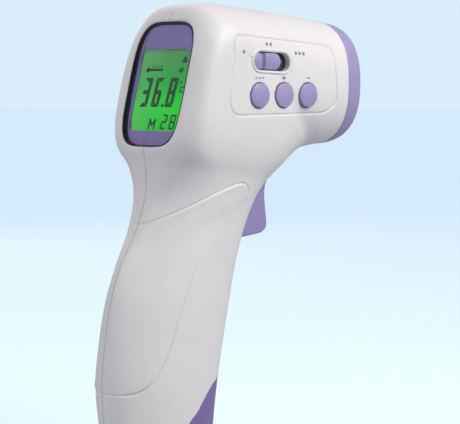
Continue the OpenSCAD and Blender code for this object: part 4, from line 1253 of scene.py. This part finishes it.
def cell_wrap():
    """Printed jacket of a dry cell: dark lower part, bright band and bare metal ends."""
    mat = metal("cell_wrap", (0.62, 0.36, 0.10), (0.45, 0.26, 0.08), 0.2)
    tree = mat.node_tree
    shader = tree.nodes["Principled BSDF"]
    place = tree.nodes.new("ShaderNodeTexCoord")
    split = tree.nodes.new("ShaderNodeSeparateXYZ")
    tree.links.new(place.outputs["Object"], split.inputs[0])
    bands = tree.nodes.new("ShaderNodeValToRGB")
    bands.color_ramp.interpolation = "CONSTANT"
    bands.color_ramp.elements[0].color = (0.6, 0.6, 0.6, 1)
    bands.color_ramp.elements[1].position = 0.98
    bands.color_ramp.elements[1].color = (0.6, 0.6, 0.6, 1)
    for at, colour in ((0.03, (0.02, 0.02, 0.025, 1)), (0.62, (0.62, 0.36, 0.10, 1))):
        bands.color_ramp.elements.new(at).color = colour
    tree.links.new(spread(tree, split.outputs["Z"], 0.0118, 0.0628, 0.0, 1.0), bands.inputs[0])
    rubbed = spread(tree, noise(tree, place.outputs["Object"], 300.0, 3.0), 0.3, 0.7, 0.9, 1.05)
    tree.links.new(mix_colour(tree, 1.0, bands.outputs[0], rubbed, "MULTIPLY"),
                   shader.inputs["Base Color"])
    return mat


board_green = plastic("board_green", (0.012, 0.13, 0.055), (0.02, 0.17, 0.075), 900.0, 0.35,
                      0.22, 0.05)
white_abs = plastic("white_abs", (0.72, 0.72, 0.70), (0.68, 0.68, 0.66), 2400.0, 0.45, 0.35)
nickel = metal("nickel", (0.62, 0.60, 0.55), (0.40, 0.37, 0.32), 0.16)
chip_epoxy = plastic("chip_epoxy", (0.015, 0.015, 0.016), (0.03, 0.03, 0.03), 1500.0, 0.6, 0.45)
light_guide = plastic("light_guide", (0.80, 0.88, 0.80), (0.86, 0.92, 0.86), 2000.0, 0.25, 0.15)
filter_glass = plastic("filter_glass", (0.03, 0.03, 0.045), (0.05, 0.045, 0.06), 1500.0, 0.1,
                       0.05, 0.02)
red_wire = plastic("red_wire", (0.45, 0.02, 0.02), (0.36, 0.02, 0.02), 1800.0, 0.4, 0.3)
white_wire = plastic("white_wire", (0.62, 0.62, 0.60), (0.55, 0.55, 0.53), 1800.0, 0.4, 0.3)
INNER = {"sensor_holder": black_abs, "ir_sensor": nickel, "sensor_filter": filter_glass,
         "sensor_board": board_green, "lcd_backlight": light_guide, "lcd_frame": white_abs,
         "lcd_connector": navy_rubber_and_painted_shade, "main_board": board_green, "main_chip": chip_epoxy,
         "buzzer": black_abs, "key_board": board_green, "key_switches": black_abs,
         "selector_switch": screw_steel, "board_screws": screw_steel,
         "selector_slide": black_abs, "trigger_pin": screw_steel, "trigger_spring": screw_steel,
         "trigger_board": board_green, "trigger_switch": black_abs,
         "trigger_plunger": white_abs, "battery_tray": white_abs, "battery_cells": cell_wrap(),
         "contact_springs": nickel, "contact_tabs": nickel, "battery_leads": red_wire,
         "sensor_leads": white_wire, "cover_pin": screw_steel}
for node, mat in INNER.items():
    dress(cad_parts[node], mat)
